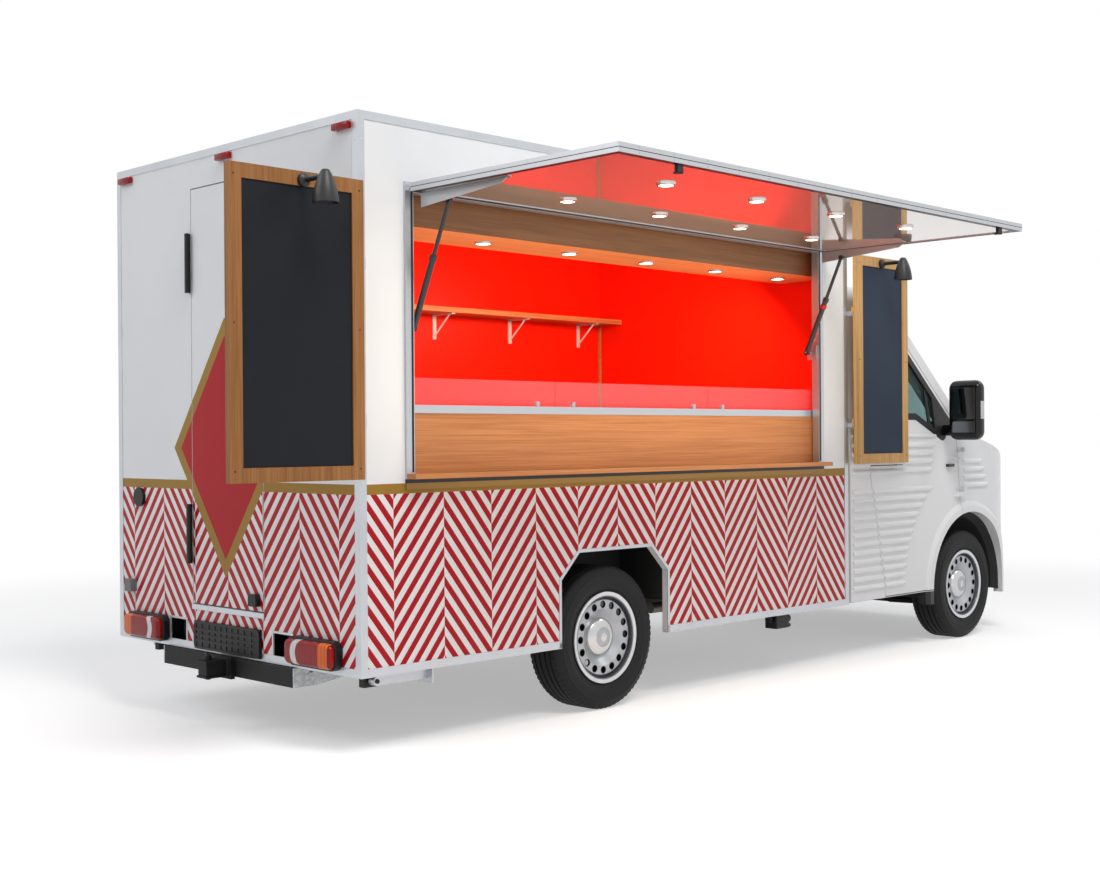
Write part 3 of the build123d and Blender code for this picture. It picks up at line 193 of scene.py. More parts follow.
def quads(loops, count, wrap=False):
    """Faces between loops of count points each; the last loop meets the first where they wrap."""
    return [
        (
            loop * count + k,
            loop * count + (k + 1) % count,
            (loop + 1) % loops * count + (k + 1) % count,
            (loop + 1) % loops * count + k,
        )
        for loop in range(loops if wrap else loops - 1)
        for k in range(count)
    ]


def turned(name, section, steps, centre, axis, relief=None):
    """A closed section of (along, radius) points turned about an axis; relief sinks single points."""
    axis = Vector(axis).normalized()
    across = axis.orthogonal().normalized()
    upright = axis.cross(across)
    vertices = []
    for step in range(steps):
        angle = 2 * math.pi * step / steps
        outward = across * math.cos(angle) + upright * math.sin(angle)
        for along, radius in section:
            sink = relief(step, along, radius) if relief else 0.0
            vertices.append(Vector(centre) + axis * along + outward * (radius - sink))
    return closed_mesh(name, vertices, quads(steps, len(section), True))


wheel_names = ("front_left", "front_right", "rear_left", "rear_right")
tyre_low, tyre_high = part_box("tyre_rear_left")
tyre_radius = (tyre_high.z - tyre_low.z) / 2
tread_half = 0.0735
groove_places = (0.052, 0.019)
groove_half = 0.0045
groove_depth = 0.008
bore_radius = 0.2063
bead_half = 0.0857
bulge_middle = 0.2848
bulge_radius = 0.0962
bulge_offset = 0.0113
cut_steps = 3
cut_count = 72
cut_depth = 0.0045
shoulder_radius = 0.335
# Sidewall from bead to shoulder: radius, how far a moulded ring stands proud there
sidewall_levels = (
    (0.225, 0.0),
    (0.236, 0.0),
    (0.238, 0.0012),
    (0.242, 0.0012),
    (0.244, 0.0),
    (0.260, 0.0),
    (0.275, 0.0),
    (0.290, 0.0),
    (0.304, 0.0),
    (0.306, 0.0014),
    (0.310, 0.0014),
    (0.312, 0.0),
    (0.325, 0.0),
    (0.336, 0.0),
    (0.344, 0.0),
)
half_section = [(bead_half, bore_radius)]
for level, ring in sidewall_levels:
    bulge = math.sqrt(bulge_radius**2 - (level - bulge_middle) ** 2)
    half_section.append((bulge_offset + bulge + ring, level))
half_section.append((tread_half + 0.005, tyre_radius - 0.0014))
half_section.append((tread_half, tyre_radius))
for groove in groove_places:
    half_section.append((groove + groove_half, tyre_radius))
    half_section.append((groove + groove_half - 0.0015, tyre_radius - groove_depth))
    half_section.append((groove - groove_half + 0.0015, tyre_radius - groove_depth))
    half_section.append((groove - groove_half, tyre_radius))
tyre_section = half_section + [(-along, radius) for along, radius in reversed(half_section)]


def shoulder_cut(step, along, radius):
    on_shoulder = abs(along) > groove_places[0] + groove_half + 0.001 and radius > shoulder_radius
    return cut_depth if on_shoulder and step % cut_steps == 0 else 0.0


def rubber_recipe(wire):
    place = position(wire)[0]
    grain = noise(wire, place, 260.0)
    dust = noise(wire, place, 9.0, 4.0)
    return {
        "Base Color": mixed(wire, dust, colour(14, 15, 16), colour(28, 28, 30)),
        "Roughness": 0.55 + dust * 0.2,
        "Normal": bump(wire, grain, 0.2, 0.0005),
    }


rubber = material("tyre_rubber", rubber_recipe, specular_ior_level=0.3)
wheel_centres = {}
for wheel in wheel_names:
    low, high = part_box("tyre_" + wheel)
    wheel_centres[wheel] = (low + high) / 2
    mesh = turned(
        "tread_" + wheel,
        tyre_section,
        cut_steps * cut_count,
        wheel_centres[wheel],
        (0, 1, 0),
        shoulder_cut,
    )
    piece("tread_" + wheel, mesh, "wheel_" + wheel, rubber, ["tyre_" + wheel], 35)

# Rims: pressed steel discs in silver paint with a ring of round holes; the flange is lighter as a
# painted highlight, the well inside it darker as painted shade, and each hole is painted black out
# past its edge as painted shade. A polished domed cap is clipped over each hub.
wheel_x = wheel_centres["front_left"].x
axle_z = wheel_centres["front_left"].z
flange_inner = 0.204
well_inner = 0.184
hole_count = 16
hole_circle = 0.160
hole_shade_radius = 0.0185
cap_radius = 0.0958
cap_seat = 0.0445
cap_height = 0.038
cap_power = 2.6
cap_steps = 14
boss_radius = 0.0235
boss_top = 0.0852


def dress(finish, *names):
    """Gives CAD nodes a finish."""
    for name in names:
        nodes[name].data.materials.clear()
        nodes[name].data.materials.append(finish)


def rim_recipe(wire):
    place, x, y, z = position(wire)
    reach = wire.math("ABSOLUTE", x) - wheel_x
    rise = z - axle_z
    radius = wire.math("SQRT", reach * reach + rise * rise)
    flow = noise(wire, place, 22.0, 5.0)
    paint = mixed(wire, flow, colour(186, 189, 193), colour(164, 167, 172))
    # The flange's lighter silver is a painted highlight, and the darker well ring is painted shade.
    flange_highlight = mixed(wire, flow, colour(222, 224, 227), colour(204, 206, 210))
    shade = mixed(wire, flow, colour(128, 130, 134), colour(108, 110, 114))
    black = mixed(wire, flow, colour(14, 14, 15), colour(26, 26, 27))
    step = 2 * math.pi / hole_count
    turn = wire.math("PINGPONG", wire.math("ARCTAN2", rise, reach) + 4 * math.pi, step / 2)
    across = turn * radius
    along = radius - hole_circle
    # Painted shade: the holes and a ring round each are painted black.
    hole_shade = wire.math("SQRT", across * across + along * along) < hole_shade_radius
    disc = mixed(wire, radius > well_inner, paint, shade)
    disc = mixed(wire, hole_shade, disc, black)
    return {
        "Base Color": mixed(wire, radius > flange_inner, disc, flange_highlight),
        "Roughness": 0.3 + flow * 0.16,
        "Normal": bump(wire, noise(wire, place, 320.0), 0.05, 0.0004),
    }


def worn(first, second, scale, detail, rough, spread, grain=None):
    """A recipe for one colour: two tones and a roughness that follow one noise, and its grain."""

    def recipe(wire):
        wear = noise(wire, position(wire)[0], scale, detail)
        look = {
            "Base Color": mixed(wire, wear, colour(*first), colour(*second)),
            "Roughness": rough + wear * spread,
        }
        if grain:
            look["Normal"] = bump(wire, wear, *grain)
        return look

    return recipe


dress(material("rim_silver", rim_recipe, metallic=0.7), *["rim_" + wheel for wheel in wheel_names])
cap_polish = worn((212, 212, 212), (190, 189, 188), 26.0, 4.0, 0.14, 0.14)
polished_cap = material("polished_cap", cap_polish, metallic=1.0)
cap_section = [(cap_seat, 0.0), (cap_seat, cap_radius)]
for k in range(1, cap_steps + 1):
    radius = cap_radius + (boss_radius - cap_radius) * k / cap_steps
    dome = (1 - (radius / cap_radius) ** cap_power) ** (1 / cap_power)
    cap_section.append((cap_seat + cap_height * dome, radius))
cap_section += [
    (boss_top - 0.001, boss_radius - 0.002),
    (boss_top, boss_radius - 0.004),
    (boss_top, 0.0),
]
for wheel in wheel_names:
    outward = math.copysign(1.0, wheel_centres[wheel].y)
    mesh = turned("hub_cap_" + wheel, cap_section, 64, wheel_centres[wheel], (0, outward, 0))
    piece("hub_cap_" + wheel, mesh, "wheel_" + wheel, polished_cap, (), 30)

# Running gear: ladder frame, axles, knuckles and engine mass in black chassis paint, dusty below.
# The silencer and its pipes are aluminised steel, and the tank is moulded plastic.


def chassis_recipe(wire):
    place = position(wire)[0]
    dust = noise(wire, place, 6.0, 5.0)
    return {
        "Base Color": mixed(wire, dust, colour(12, 12, 13), colour(34, 33, 32)),
        "Roughness": 0.42 + dust * 0.3,
        "Normal": bump(wire, noise(wire, place, 90.0), 0.12),
    }


def tank_recipe(wire):
    place, x, y, z = position(wire)
    bloom = noise(wire, place, 30.0, 4.0)
    plastic = mixed(wire, bloom, colour(30, 31, 33), colour(48, 49, 51))
    steel = mixed(wire, bloom, colour(140, 138, 132), colour(112, 108, 100))
    return {
        "Base Color": mixed(wire, y < 0.0, plastic, steel),
        "Roughness": 0.5 + bloom * 0.25,
        "Metallic": (y < 0.0) * 0.8,
    }


chassis_black = material("chassis_black", chassis_recipe, specular_ior_level=0.25)
dress(
    chassis_black,
    "knuckle_left",
    "knuckle_right",
    "front_subframe",
    "rear_axle",
    "chassis_frame",
    "engine_block",
)
dress(material("tank_and_silencer", tank_recipe), "tank_and_exhaust")

# Tow beam: black painted steel with a coupling pin, hung between two galvanised side plates.
# The plates show the zinc's spangle and are bolted through.
beam_half = 0.530
beam_rear = -3.275
beam_front = -3.155
beam_top = 0.335
plate_reach = 0.300
plate_thick = 0.008


def zinc_recipe(wire):
    place = position(wire)[0]
    spangle = wire.add("TexVoronoi", None, {"Vector": place, "Scale": 70.0}, out="Color")
    grey = wire.add("SeparateXYZ", None, {0: spangle}, 0)
    return {
        "Base Color": mixed(wire, grey, colour(158, 162, 166), colour(196, 200, 203)),
        "Roughness": 0.38 + grey * 0.15,
    }


def stacked(name, rings):
    """Equal rings of points joined in order and closed at both ends."""
    count = len(rings[0])
    vertices = [point for ring in rings for point in ring]
    faces = quads(len(rings), count)
    faces += [tuple(range(count)), tuple(range(len(vertices) - count, len(vertices)))]
    return closed_mesh(name, vertices, faces)


def prism(name, outline, place, depth):
    """A flat outline pushed through a depth; place(u, v, w) gives the point in space."""
    return stacked(name, [[place(u, v, w) for u, v in outline] for w in depth])


def beam(x0, x1, y0, y1, z0, z1):
    """The eight corners and six faces of a straight bar."""
    corners = [(x, y, z) for x in (x0, x1) for y in (y0, y1) for z in (z0, z1)]
    faces = [(0, 1, 3, 2), (4, 6, 7, 5), (0, 4, 5, 1), (2, 3, 7, 6), (0, 2, 6, 4), (1, 5, 7, 3)]
    return corners, faces


def bars(name, limits, ease=0.0008):
    """Straight bars in one mesh, their edges eased by a bevel."""
    vertices, faces = [], []
    for limit in limits:
        corners, sides = beam(*limit)
        faces += [tuple(len(vertices) + corner for corner in side) for side in sides]
        vertices += corners
    mesh = bpy.data.meshes.new(name)
    mesh.from_pydata(vertices, [], faces)
    work = bmesh.new()
    work.from_mesh(mesh)
    bmesh.ops.recalc_face_normals(work, faces=work.faces)
    bmesh.ops.bevel(
        work,
        geom=list(work.edges),
        offset=ease,
        segments=2,
        profile=0.5,
        affect="EDGES",
        clamp_overlap=True,
    )
    work.to_mesh(mesh)
    work.free()
    return mesh


dress(chassis_black, "tow_bar")
jaw_rear = beam_rear - 0.126
jaw_limits = (
    (jaw_rear, beam_rear - 0.020, -0.042, 0.042, 0.3165, 0.328),
    (jaw_rear, beam_rear - 0.020, -0.042, 0.042, 0.248, 0.2595),
    (beam_rear - 0.028, beam_rear, -0.060, 0.060, 0.246, 0.334),
)
mesh = bars("coupling_jaw", jaw_limits, 0.004)
piece("coupling_jaw", mesh, "vehicle", chassis_black)
pin_x = beam_rear - 0.090
pin_section = (
    (-0.060, 0.0),
    (-0.060, 0.011),
    (-0.056, 0.013),
    (0.048, 0.013),
    (0.052, 0.010),
    (0.052, 0.0),
)
mesh = turned("coupling_pin", pin_section, 32, (pin_x, 0.0, 0.300), (0, 0, 1))
piece("coupling_pin", mesh, "vehicle", chassis_black, (), 35)
handle_section = ((0.0, 0.0), (0.0, 0.007), (0.060, 0.007), (0.064, 0.005), (0.064, 0.0))
mesh = turned("coupling_handle", handle_section, 24, (pin_x, 0.0, 0.346), (0.4, 0.9, 0.1))
piece("coupling_handle", mesh, "vehicle", chassis_black, (), 35)
zinc = material("galvanised_zinc", zinc_recipe, metallic=0.85)
side_plate = (
    (beam_rear, 0.250),
    (beam_front, 0.250),
    (beam_front + plate_reach, beam_top - 0.046),
    (beam_front + plate_reach, beam_top),
    (beam_rear, beam_top),
)
both_sides = (("left", 1), ("right", -1))
for side_name, side in both_sides:
    mesh = prism(
        "tow_plate_" + side_name,
        side_plate,
        lambda u, v, w: (u, side * w, v),
        (beam_half, beam_half + plate_thick),
    )
    piece("tow_plate_" + side_name, mesh, "vehicle", zinc)

# Box floor: plywood under a speckled grey sheet, with white moulded wheel boxes in the galley.
# Its underside and the wheel houses are undersealed black.
wall_low, wall_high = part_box("box_wall_right")
box_rear = wall_low.x
box_front = wall_high.x
box_half = -wall_low.y
box_top = wall_high.z
skirt = wall_low.z
floor_top = 0.560
house_inner = 0.655
house_top = 0.792
house_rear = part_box("tyre_rear_left")[0].x - 0.010
house_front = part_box("tyre_rear_left")[1].x + 0.070


def floor_recipe(wire):
    place, x, y, z = position(wire)
    speck = noise(wire, place, 180.0)
    sheet = mixed(wire, speck, colour(132, 134, 136), colour(92, 94, 96))
    gel = mixed(wire, speck, colour(212, 213, 213), colour(198, 199, 200))
    seal = mixed(wire, speck, colour(16, 16, 17), colour(34, 33, 32))
    house = (
        (wire.math("ABSOLUTE", y) > house_inner)
        * (z < house_top)
        * between(wire, x, house_rear, house_front)
    )
    below = wire.math("MAXIMUM", house, z < floor_top - 0.002)
    above = mixed(wire, z > floor_top + 0.002, sheet, gel)
    return {
        "Base Color": mixed(wire, below, above, seal),
        "Roughness": 0.55 + speck * 0.25,
        "Normal": bump(wire, speck, 0.15),
    }


dress(material("floor_sheet", floor_recipe), "box_floor")

# Box walls and roof: sandwich panels in a glossy white laminate, lined in red inside the galley.
# Below a gold band the outer faces carry a printed film of red and white chevron stripes, and the
# rear door a red lozenge with a gold border.
lining_y = -wall_high.y
lining_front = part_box("box_wall_front")[0].x
lining_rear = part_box("box_wall_rear")[1].x
lining_start = 0.001
lining_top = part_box("box_roof")[0].z
band_low = 1.094
band_high = 1.137
chevron_column = 0.28
chevron_rise = 1.25
chevron_pitch = 0.086
lozenge_y = 0.02
lozenge_z = 1.29
lozenge_half = 0.44
lozenge_rise = 0.60
lozenge_border = 0.14


def film(wire, along, z, ground):
    """The printed film over a ground colour: chevrons under the gold band."""
    column = wire.math("PINGPONG", along, chevron_column)
    odd = wire.math("FLOORED_MODULO", wire.math("FLOOR", along / chevron_column), 2.0)
    climb = z + column * chevron_rise + odd * (chevron_pitch / 2)
    wave = wire.math("FRACT", climb / chevron_pitch)
    stripes = mixed(wire, wave < 0.5, colour(238, 235, 235), colour(176, 8, 26))
    fade = noise(wire, wire.add("TexCoord", out="Object"), 3.0)
    gold = mixed(wire, fade, colour(166, 128, 52), colour(148, 112, 40))
    lower = mixed(wire, z < band_low, gold, stripes)
    return mixed(wire, z < band_high, ground, lower)


def panel_recipe(wire):
    place, x, y, z = position(wire)
    sheen = noise(wire, place, 2.5)
    width = wire.math("ABSOLUTE", y)
    white = mixed(wire, sheen, colour(240, 241, 243), colour(232, 234, 237))
    red = mixed(wire, sheen, colour(250, 32, 6), colour(247, 28, 5))
    grip = mixed(wire, sheen, colour(44, 45, 47), colour(30, 31, 33))
    lozenge = wire.math("ABSOLUTE", y - lozenge_y) / lozenge_half
    lozenge = lozenge + wire.math("ABSOLUTE", z - lozenge_z) / lozenge_rise
    gold = mixed(wire, sheen, colour(170, 132, 56), colour(150, 114, 42))
    badge = mixed(wire, lozenge < 1.0 - lozenge_border, gold, colour(176, 8, 22))
    rear = mixed(wire, lozenge < 1.0, film(wire, y, z, white), badge)
    outer = mixed(wire, width > box_half - 0.0005, white, film(wire, x, z, white))
    outer = mixed(wire, x < box_rear + 0.0005, outer, rear)
    outer = mixed(wire, x < box_rear - 0.0005, outer, grip)
    inside = (
        (width < lining_y + 0.001)
        * between(wire, x, lining_rear + lining_start, lining_front + 0.001)
        * (z < lining_top + 0.001)
    )
    return {
        "Base Color": mixed(wire, inside, outer, red),
        "Roughness": 0.3 + sheen * 0.03,
        "Normal": bump(wire, noise(wire, place, 50.0), 0.015),
    }


panel = material("laminate_panel", panel_recipe, specular_ior_level=0.2)
dress(
    panel,
    "box_wall_left",
    "box_wall_right",
    "box_wall_rear",
    "box_wall_front",
    "rear_door",
    "box_roof",
)

# Edge profiles: anodised aluminium angles that wrap every edge of the box, held by dome rivets.
# The same section trims the wheel arches, the rear pockets and the door sill.
rivet_radius = 0.0042
rivet_height = 0.0016
rivet_pitch = 0.17
rivet_inset = 0.017
skin = 0.003


def brushed(wire, place, run=3.0, across=220.0):
    """Fine lines drawn along the vehicle."""
    drawn = wire.add("Mapping", None, {"Vector": place, "Scale": (run, across, across)})
    return noise(wire, drawn, 4.0, 4.0)


def aluminium_recipe(wire):
    place = position(wire)[0]
    brush = brushed(wire, place)
    cloud = noise(wire, place, 5.0)
    return {
        "Base Color": mixed(wire, cloud, colour(206, 209, 213), colour(186, 190, 196)),
        "Roughness": 0.3 + brush * 0.18,
        "Normal": bump(wire, brush, 0.05),
    }


aluminium = material("satin_aluminium", aluminium_recipe, metallic=0.85)
dress(aluminium, "edge_profiles", "steady_left", "steady_right")


def head_tree():
    """A node tree that sets a dome head on each point, turned to the point's own facing."""
    tree = bpy.data.node_groups.new("set_heads", "GeometryNodeTree")
    kinds = (
        ("Geometry", "NodeSocketGeometry"),
        ("Head Radius", "NodeSocketFloat"),
        ("Head Height", "NodeSocketFloat"),
        ("Finish", "NodeSocketMaterial"),
    )
    keys = {}
    for label, kind in kinds:
        keys[label] = tree.interface.new_socket(label, in_out="INPUT", socket_type=kind).identifier
    tree.interface.new_socket("Geometry", in_out="OUTPUT", socket_type="NodeSocketGeometry")
    given = tree.nodes.new("NodeGroupInput")
    result = tree.nodes.new("NodeGroupOutput")
    head = tree.nodes.new("GeometryNodeMeshCone")
    head.inputs["Vertices"].default_value = 12
    top = tree.nodes.new("ShaderNodeMath")
    top.operation = "MULTIPLY"
    top.inputs[1].default_value = 0.55
    facing = tree.nodes.new("GeometryNodeInputNamedAttribute")
    facing.data_type = "FLOAT_VECTOR"
    facing.inputs["Name"].default_value = "facing"
    turn = tree.nodes.new("FunctionNodeAlignRotationToVector")
    turn.axis = "Z"
    spread = tree.nodes.new("GeometryNodeInstanceOnPoints")
    real = tree.nodes.new("GeometryNodeRealizeInstances")
    paint = tree.nodes.new("GeometryNodeSetMaterial")
    for start, end in (
        (given.outputs["Head Radius"], head.inputs["Radius Bottom"]),
        (given.outputs["Head Radius"], top.inputs[0]),
        (top.outputs[0], head.inputs["Radius Top"]),
        (given.outputs["Head Height"], head.inputs["Depth"]),
        (facing.outputs["Attribute"], turn.inputs["Vector"]),
        (given.outputs["Geometry"], spread.inputs["Points"]),
        (head.outputs["Mesh"], spread.inputs["Instance"]),
        (turn.outputs["Rotation"], spread.inputs["Rotation"]),
        (spread.outputs["Instances"], real.inputs["Geometry"]),
        (real.outputs["Geometry"], paint.inputs["Geometry"]),
        (given.outputs["Finish"], paint.inputs["Material"]),
        (paint.outputs["Geometry"], result.inputs["Geometry"]),
    ):
        tree.links.new(start, end)
    return tree, keys


heads, head_keys = head_tree()


def fasteners(name, spots, radius, height, finish, body):
    """One mesh of dome heads on (place, facing) spots of a body."""
    points = bpy.data.meshes.new(name)
    points.from_pydata([place for place, facing in spots], [], [])
    facings = points.attributes.new("facing", "FLOAT_VECTOR", "POINT")
    for item, (place, facing) in zip(facings.data, spots):
        item.vector = facing
    carrier = bpy.data.objects.new(name + "_points", points)
    bpy.context.scene.collection.objects.link(carrier)
    modifier = carrier.modifiers.new("heads", "NODES")
    modifier.node_group = heads
    modifier[head_keys["Head Radius"]] = radius
    modifier[head_keys["Head Height"]] = height
    modifier[head_keys["Finish"]] = finish
    carrier.update_tag()
    evaluated = carrier.evaluated_get(bpy.context.evaluated_depsgraph_get())
    mesh = bpy.data.meshes.new_from_object(evaluated)
    mesh.name = name
    bpy.data.objects.remove(carrier)
    return piece(name, mesh, body)


def row(start, end, pitch):
    """Even places from start to end, about a pitch apart."""
    count = max(1, round(abs(end - start) / pitch))
    return [start + (end - start) * k / count for k in range(count + 1)]


rivet_spots = []
for x in row(box_rear + 0.08, box_front - 0.08, rivet_pitch):
    for side in (1, -1):
        rivet_spots.append(((x, side * (box_half + skin), box_top - rivet_inset), (0, side, 0)))
        clear_of_arch = x < house_rear - 0.03 or x > house_front + 0.03
        if clear_of_arch:
            rivet_spots.append(((x, side * (box_half + skin), skirt + rivet_inset), (0, side, 0)))
for z in row(skirt + 0.12, box_top - 0.12, rivet_pitch):
    for side in (1, -1):
        y = side * (box_half + skin)
        rivet_spots.append(((box_rear + rivet_inset, y, z), (0, side, 0)))
        rivet_spots.append(((box_front - rivet_inset, y, z), (0, side, 0)))
        rivet_spots.append(((box_rear - skin, side * (box_half - rivet_inset), z), (-1, 0, 0)))
for y in row(-box_half + 0.15, box_half - 0.15, rivet_pitch):
    rivet_spots.append(((box_rear - skin, y, box_top - rivet_inset), (-1, 0, 0)))
fasteners("box_rivets", rivet_spots, rivet_radius, rivet_height, aluminium, "vehicle")
bolt_spots = [
    ((x, side * (beam_half + plate_thick), 0.305), (0, side, 0))
    for x in (beam_front - 0.030, beam_front + 0.060, beam_front + 0.240)
    for side in (1, -1)
]
fasteners("tow_plate_bolts", bolt_spots, 0.011, 0.007, zinc, "vehicle")


def grown(outline, amount):
    """A flat outline set outwards by an amount, corner by corner."""
    outline = [Vector(corner) for corner in outline]
    area = sum(a.x * b.y - b.x * a.y for a, b in zip(outline, outline[1:] + outline[:1]))
    sense = 1 if area > 0 else -1
    moved = []
    for k, corner in enumerate(outline):
        before = (corner - outline[k - 1]).normalized()
        after = (outline[(k + 1) % len(outline)] - corner).normalized()
        normals = [Vector((run.y, -run.x)) * sense for run in (before, after)]
        miter = (normals[0] + normals[1]).normalized()
        moved.append(corner + miter * (amount / miter.dot(normals[0])))
    return moved


arch_rear = -2.077
arch_front = -1.312
arch_shoulder = 0.656
arch_crest = 0.779
arch_chamfer = 0.123
arch_trim = 0.016
arch_outline = (
    (arch_front, skirt),
    (arch_front, arch_shoulder),
    (arch_front - arch_chamfer, arch_crest),
    (arch_rear + arch_chamfer, arch_crest),
    (arch_rear, arch_shoulder),
    (arch_rear, skirt),
)
arch_outer = [Vector((point.x, max(point.y, skirt))) for point in grown(arch_outline, arch_trim)]
for side_name, side in both_sides:
    vertices, faces = [], []
    for first in range(5):
        corners = (*arch_outline[first : first + 2], arch_outer[first + 1], arch_outer[first])
        start = len(vertices)
        vertices += [(u, side * w, v) for w in (box_half, box_half + skin) for u, v in corners]
        strip = ((0, 1, 2, 3), (4, 5, 6, 7), (0, 1, 5, 4), (3, 2, 6, 7))
        faces += [tuple(start + k for k in face) for face in strip]
        if first == 0:
            faces.append((start, start + 3, start + 7, start + 4))
        if first == 4:
            faces.append((start + 1, start + 2, start + 6, start + 5))
    mesh = closed_mesh("arch_trim_" + side_name, vertices, faces)
    piece("arch_trim_" + side_name, mesh, "vehicle", aluminium)

# Window frame: the same aluminium, with black rubber seals on its jambs that the closed awning
# rests on. The film's gold band runs on over the sill rail; above the band the rail is
# painted black.
frame_low, frame_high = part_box("window_frame")
frame_rail = 0.045
window_rear = frame_low.x + frame_rail
window_front = frame_high.x - frame_rail
window_sill = frame_low.z + frame_rail
window_head = frame_high.z - frame_rail
frame_face = -(box_half + 0.012)
seal_outset = 0.010
seal_half = 0.004
seal_proud = 0.004


def window_frame_recipe(wire):
    place, x, y, z = position(wire)
    brush = brushed(wire, place)
    metal = mixed(wire, brush, colour(206, 209, 213), colour(186, 190, 196))
    black = mixed(wire, brush, colour(18, 18, 19), colour(34, 34, 36))
    gold = mixed(wire, brush, colour(166, 128, 52), colour(148, 112, 40))
    sill = z < window_sill - 0.0005
    # Above the gold band the sill rail is painted black.
    rail = mixed(wire, z < band_high, black, gold)
    return {
        "Base Color": mixed(wire, sill, metal, rail),
        "Roughness": 0.3 + brush * 0.18,
        "Metallic": 0.85 - sill * 0.85,
        "Normal": bump(wire, brush, 0.05),
    }


seal_rubber = material("seal_rubber", worn((16, 16, 17), (34, 34, 35), 80.0, 3.0, 0.45, 0.25))
dress(material("window_aluminium", window_frame_recipe), "window_frame")
seal_x = (window_rear - seal_outset, window_front + seal_outset)
seal_z = (window_sill + 0.028, window_head + seal_outset)
seal_y = (frame_face - seal_proud, frame_face + 0.001)
seal_runs = [
    (x - seal_half, x + seal_half, *seal_y, seal_z[0], seal_z[1] + seal_half) for x in seal_x
]
piece("window_seal", bars("window_seal", seal_runs, 0.002), "vehicle", seal_rubber)

# Galley: counter, pelmet and soffit in oiled oak boards, their grain running along the vehicle.
# The soffit's oak is paler, its tones partly raised as painted light.
# The wall shelf is the same oak on pale steel brackets, and the serving ledge a solid oak board.
shelf_low = 2.075
pelmet_face = -0.895
pelmet_from = 2.0
warm_oak = (colour(158, 94, 46), colour(192, 122, 66), colour(210, 146, 88))
deep_oak = (colour(92, 60, 36), colour(126, 86, 54), colour(150, 108, 72))
# The soffit's tones: a pale oak, partly brightened as painted light.
soffit_oak_with_painted_light = (colour(214, 140, 76), colour(240, 172, 104), colour(250, 194, 130))


def oak_grain(wire, place, along, tones):
    """Oak's grain: long pores, broad darker bands and slow arching rings."""
    fine = {"x": (1.0, 120.0, 120.0), "z": (120.0, 120.0, 1.0)}[along]
    broad = {"x": (0.22, 9.0, 9.0), "z": (9.0, 9.0, 0.22)}[along]
    pores = noise(wire, wire.add("Mapping", None, {"Vector": place, "Scale": fine}), 3.0, 5.0, 0.6)
    bands = noise(wire, wire.add("Mapping", None, {"Vector": place, "Scale": broad}), 2.0, 2.0)
    rings = wire.math("PINGPONG", bands * 7.0, 1.0)
    tone = pores * 0.7 + rings * 0.12 + bands * 0.18
    stops = tuple(zip((0.3, 0.5, 0.72), tones))
    return wire.add("ValToRGB", {"stops": stops}, {"Fac": tone}), pores


def galley_oak_recipe(wire):
    place, x, y, z = position(wire)
    counter, pores = oak_grain(wire, place, "x", warm_oak)
    pelmet = oak_grain(wire, place, "x", deep_oak)[0]
    # The soffit takes the oak tones brightened as painted light.
    soffit = oak_grain(wire, place, "x", soffit_oak_with_painted_light)[0]
    upper = mixed(wire, y < pelmet_face, soffit, pelmet)
    return {
        "Base Color": mixed(wire, z > pelmet_from, counter, upper),
        "Roughness": 0.34 + pores * 0.2,
        "Normal": bump(wire, pores, 0.1, 0.0006),
    }


def shelf_recipe(wire):
    place, x, y, z = position(wire)
    oak, pores = oak_grain(wire, place, "x", warm_oak)
    steel = mixed(wire, pores, colour(228, 226, 222), colour(206, 204, 200))
    return {
        "Base Color": mixed(wire, z < shelf_low - 0.0005, oak, steel),
        "Roughness": 0.34 + pores * 0.2,
        "Normal": bump(wire, pores, 0.08, 0.0006),
    }


def ledge_recipe(wire):
    place = position(wire)[0]
    oak, pores = oak_grain(wire, place, "x", warm_oak)
    return {
        "Base Color": oak,
        "Roughness": 0.3 + pores * 0.2,
        "Normal": bump(wire, pores, 0.1, 0.0006),
    }


dress(material("galley_oak", galley_oak_recipe), "galley_woodwork")
shelf_oak = material("shelf_oak", shelf_recipe)
ledge_oak = material("ledge_oak", ledge_recipe)
dress(shelf_oak, "wall_shelf")
dress(ledge_oak, "serving_ledge")
bracket_first = box_rear + 0.810
bracket_last = lining_front - 0.214
bracket_count = 5
brace_section = ((0.0, 0.0), (0.0, 0.005), (0.196, 0.005), (0.196, 0.0))
for k in range(bracket_count):
    x = bracket_first + (bracket_last - bracket_first) * k / (bracket_count - 1)
    foot = (x, lining_y - 0.006, shelf_low - 0.130)
    mesh = turned("shelf_brace_%d" % k, brace_section, 20, foot, (0.0, -0.138, 0.124))
    piece("shelf_brace_%d" % k, mesh, "vehicle", shelf_oak, (), 40)
post = (lining_front - 0.016, lining_front, lining_y - 0.016, lining_y, 1.471, shelf_low)
piece("shelf_post", bars("shelf_post", [post], 0.002), "vehicle", ledge_oak)

# Worktop: brushed stainless steel folded over the counter, with a low clear guard standing on it.
# The guard's pink tint is a painted reflection of the red lining.
# The guard is three sheets butted together, each held by two small clips.
guard_low, guard_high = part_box("counter_guard")
guard_sheets = 3
sheet_length = (guard_high.x - guard_low.x) / guard_sheets
guard_joint = 0.0016
clip_inset = 0.12
clip_half = 0.011
clip_lap = 0.005
clip_height = 0.024


def steel_top_recipe(wire):
    place = position(wire)[0]
    brush = brushed(wire, place, 2.0, 260.0)
    return {
        "Base Color": mixed(wire, brush, colour(214, 216, 218), colour(194, 197, 200)),
        "Roughness": 0.22 + brush * 0.2,
        "Normal": bump(wire, brush, 0.04),
    }


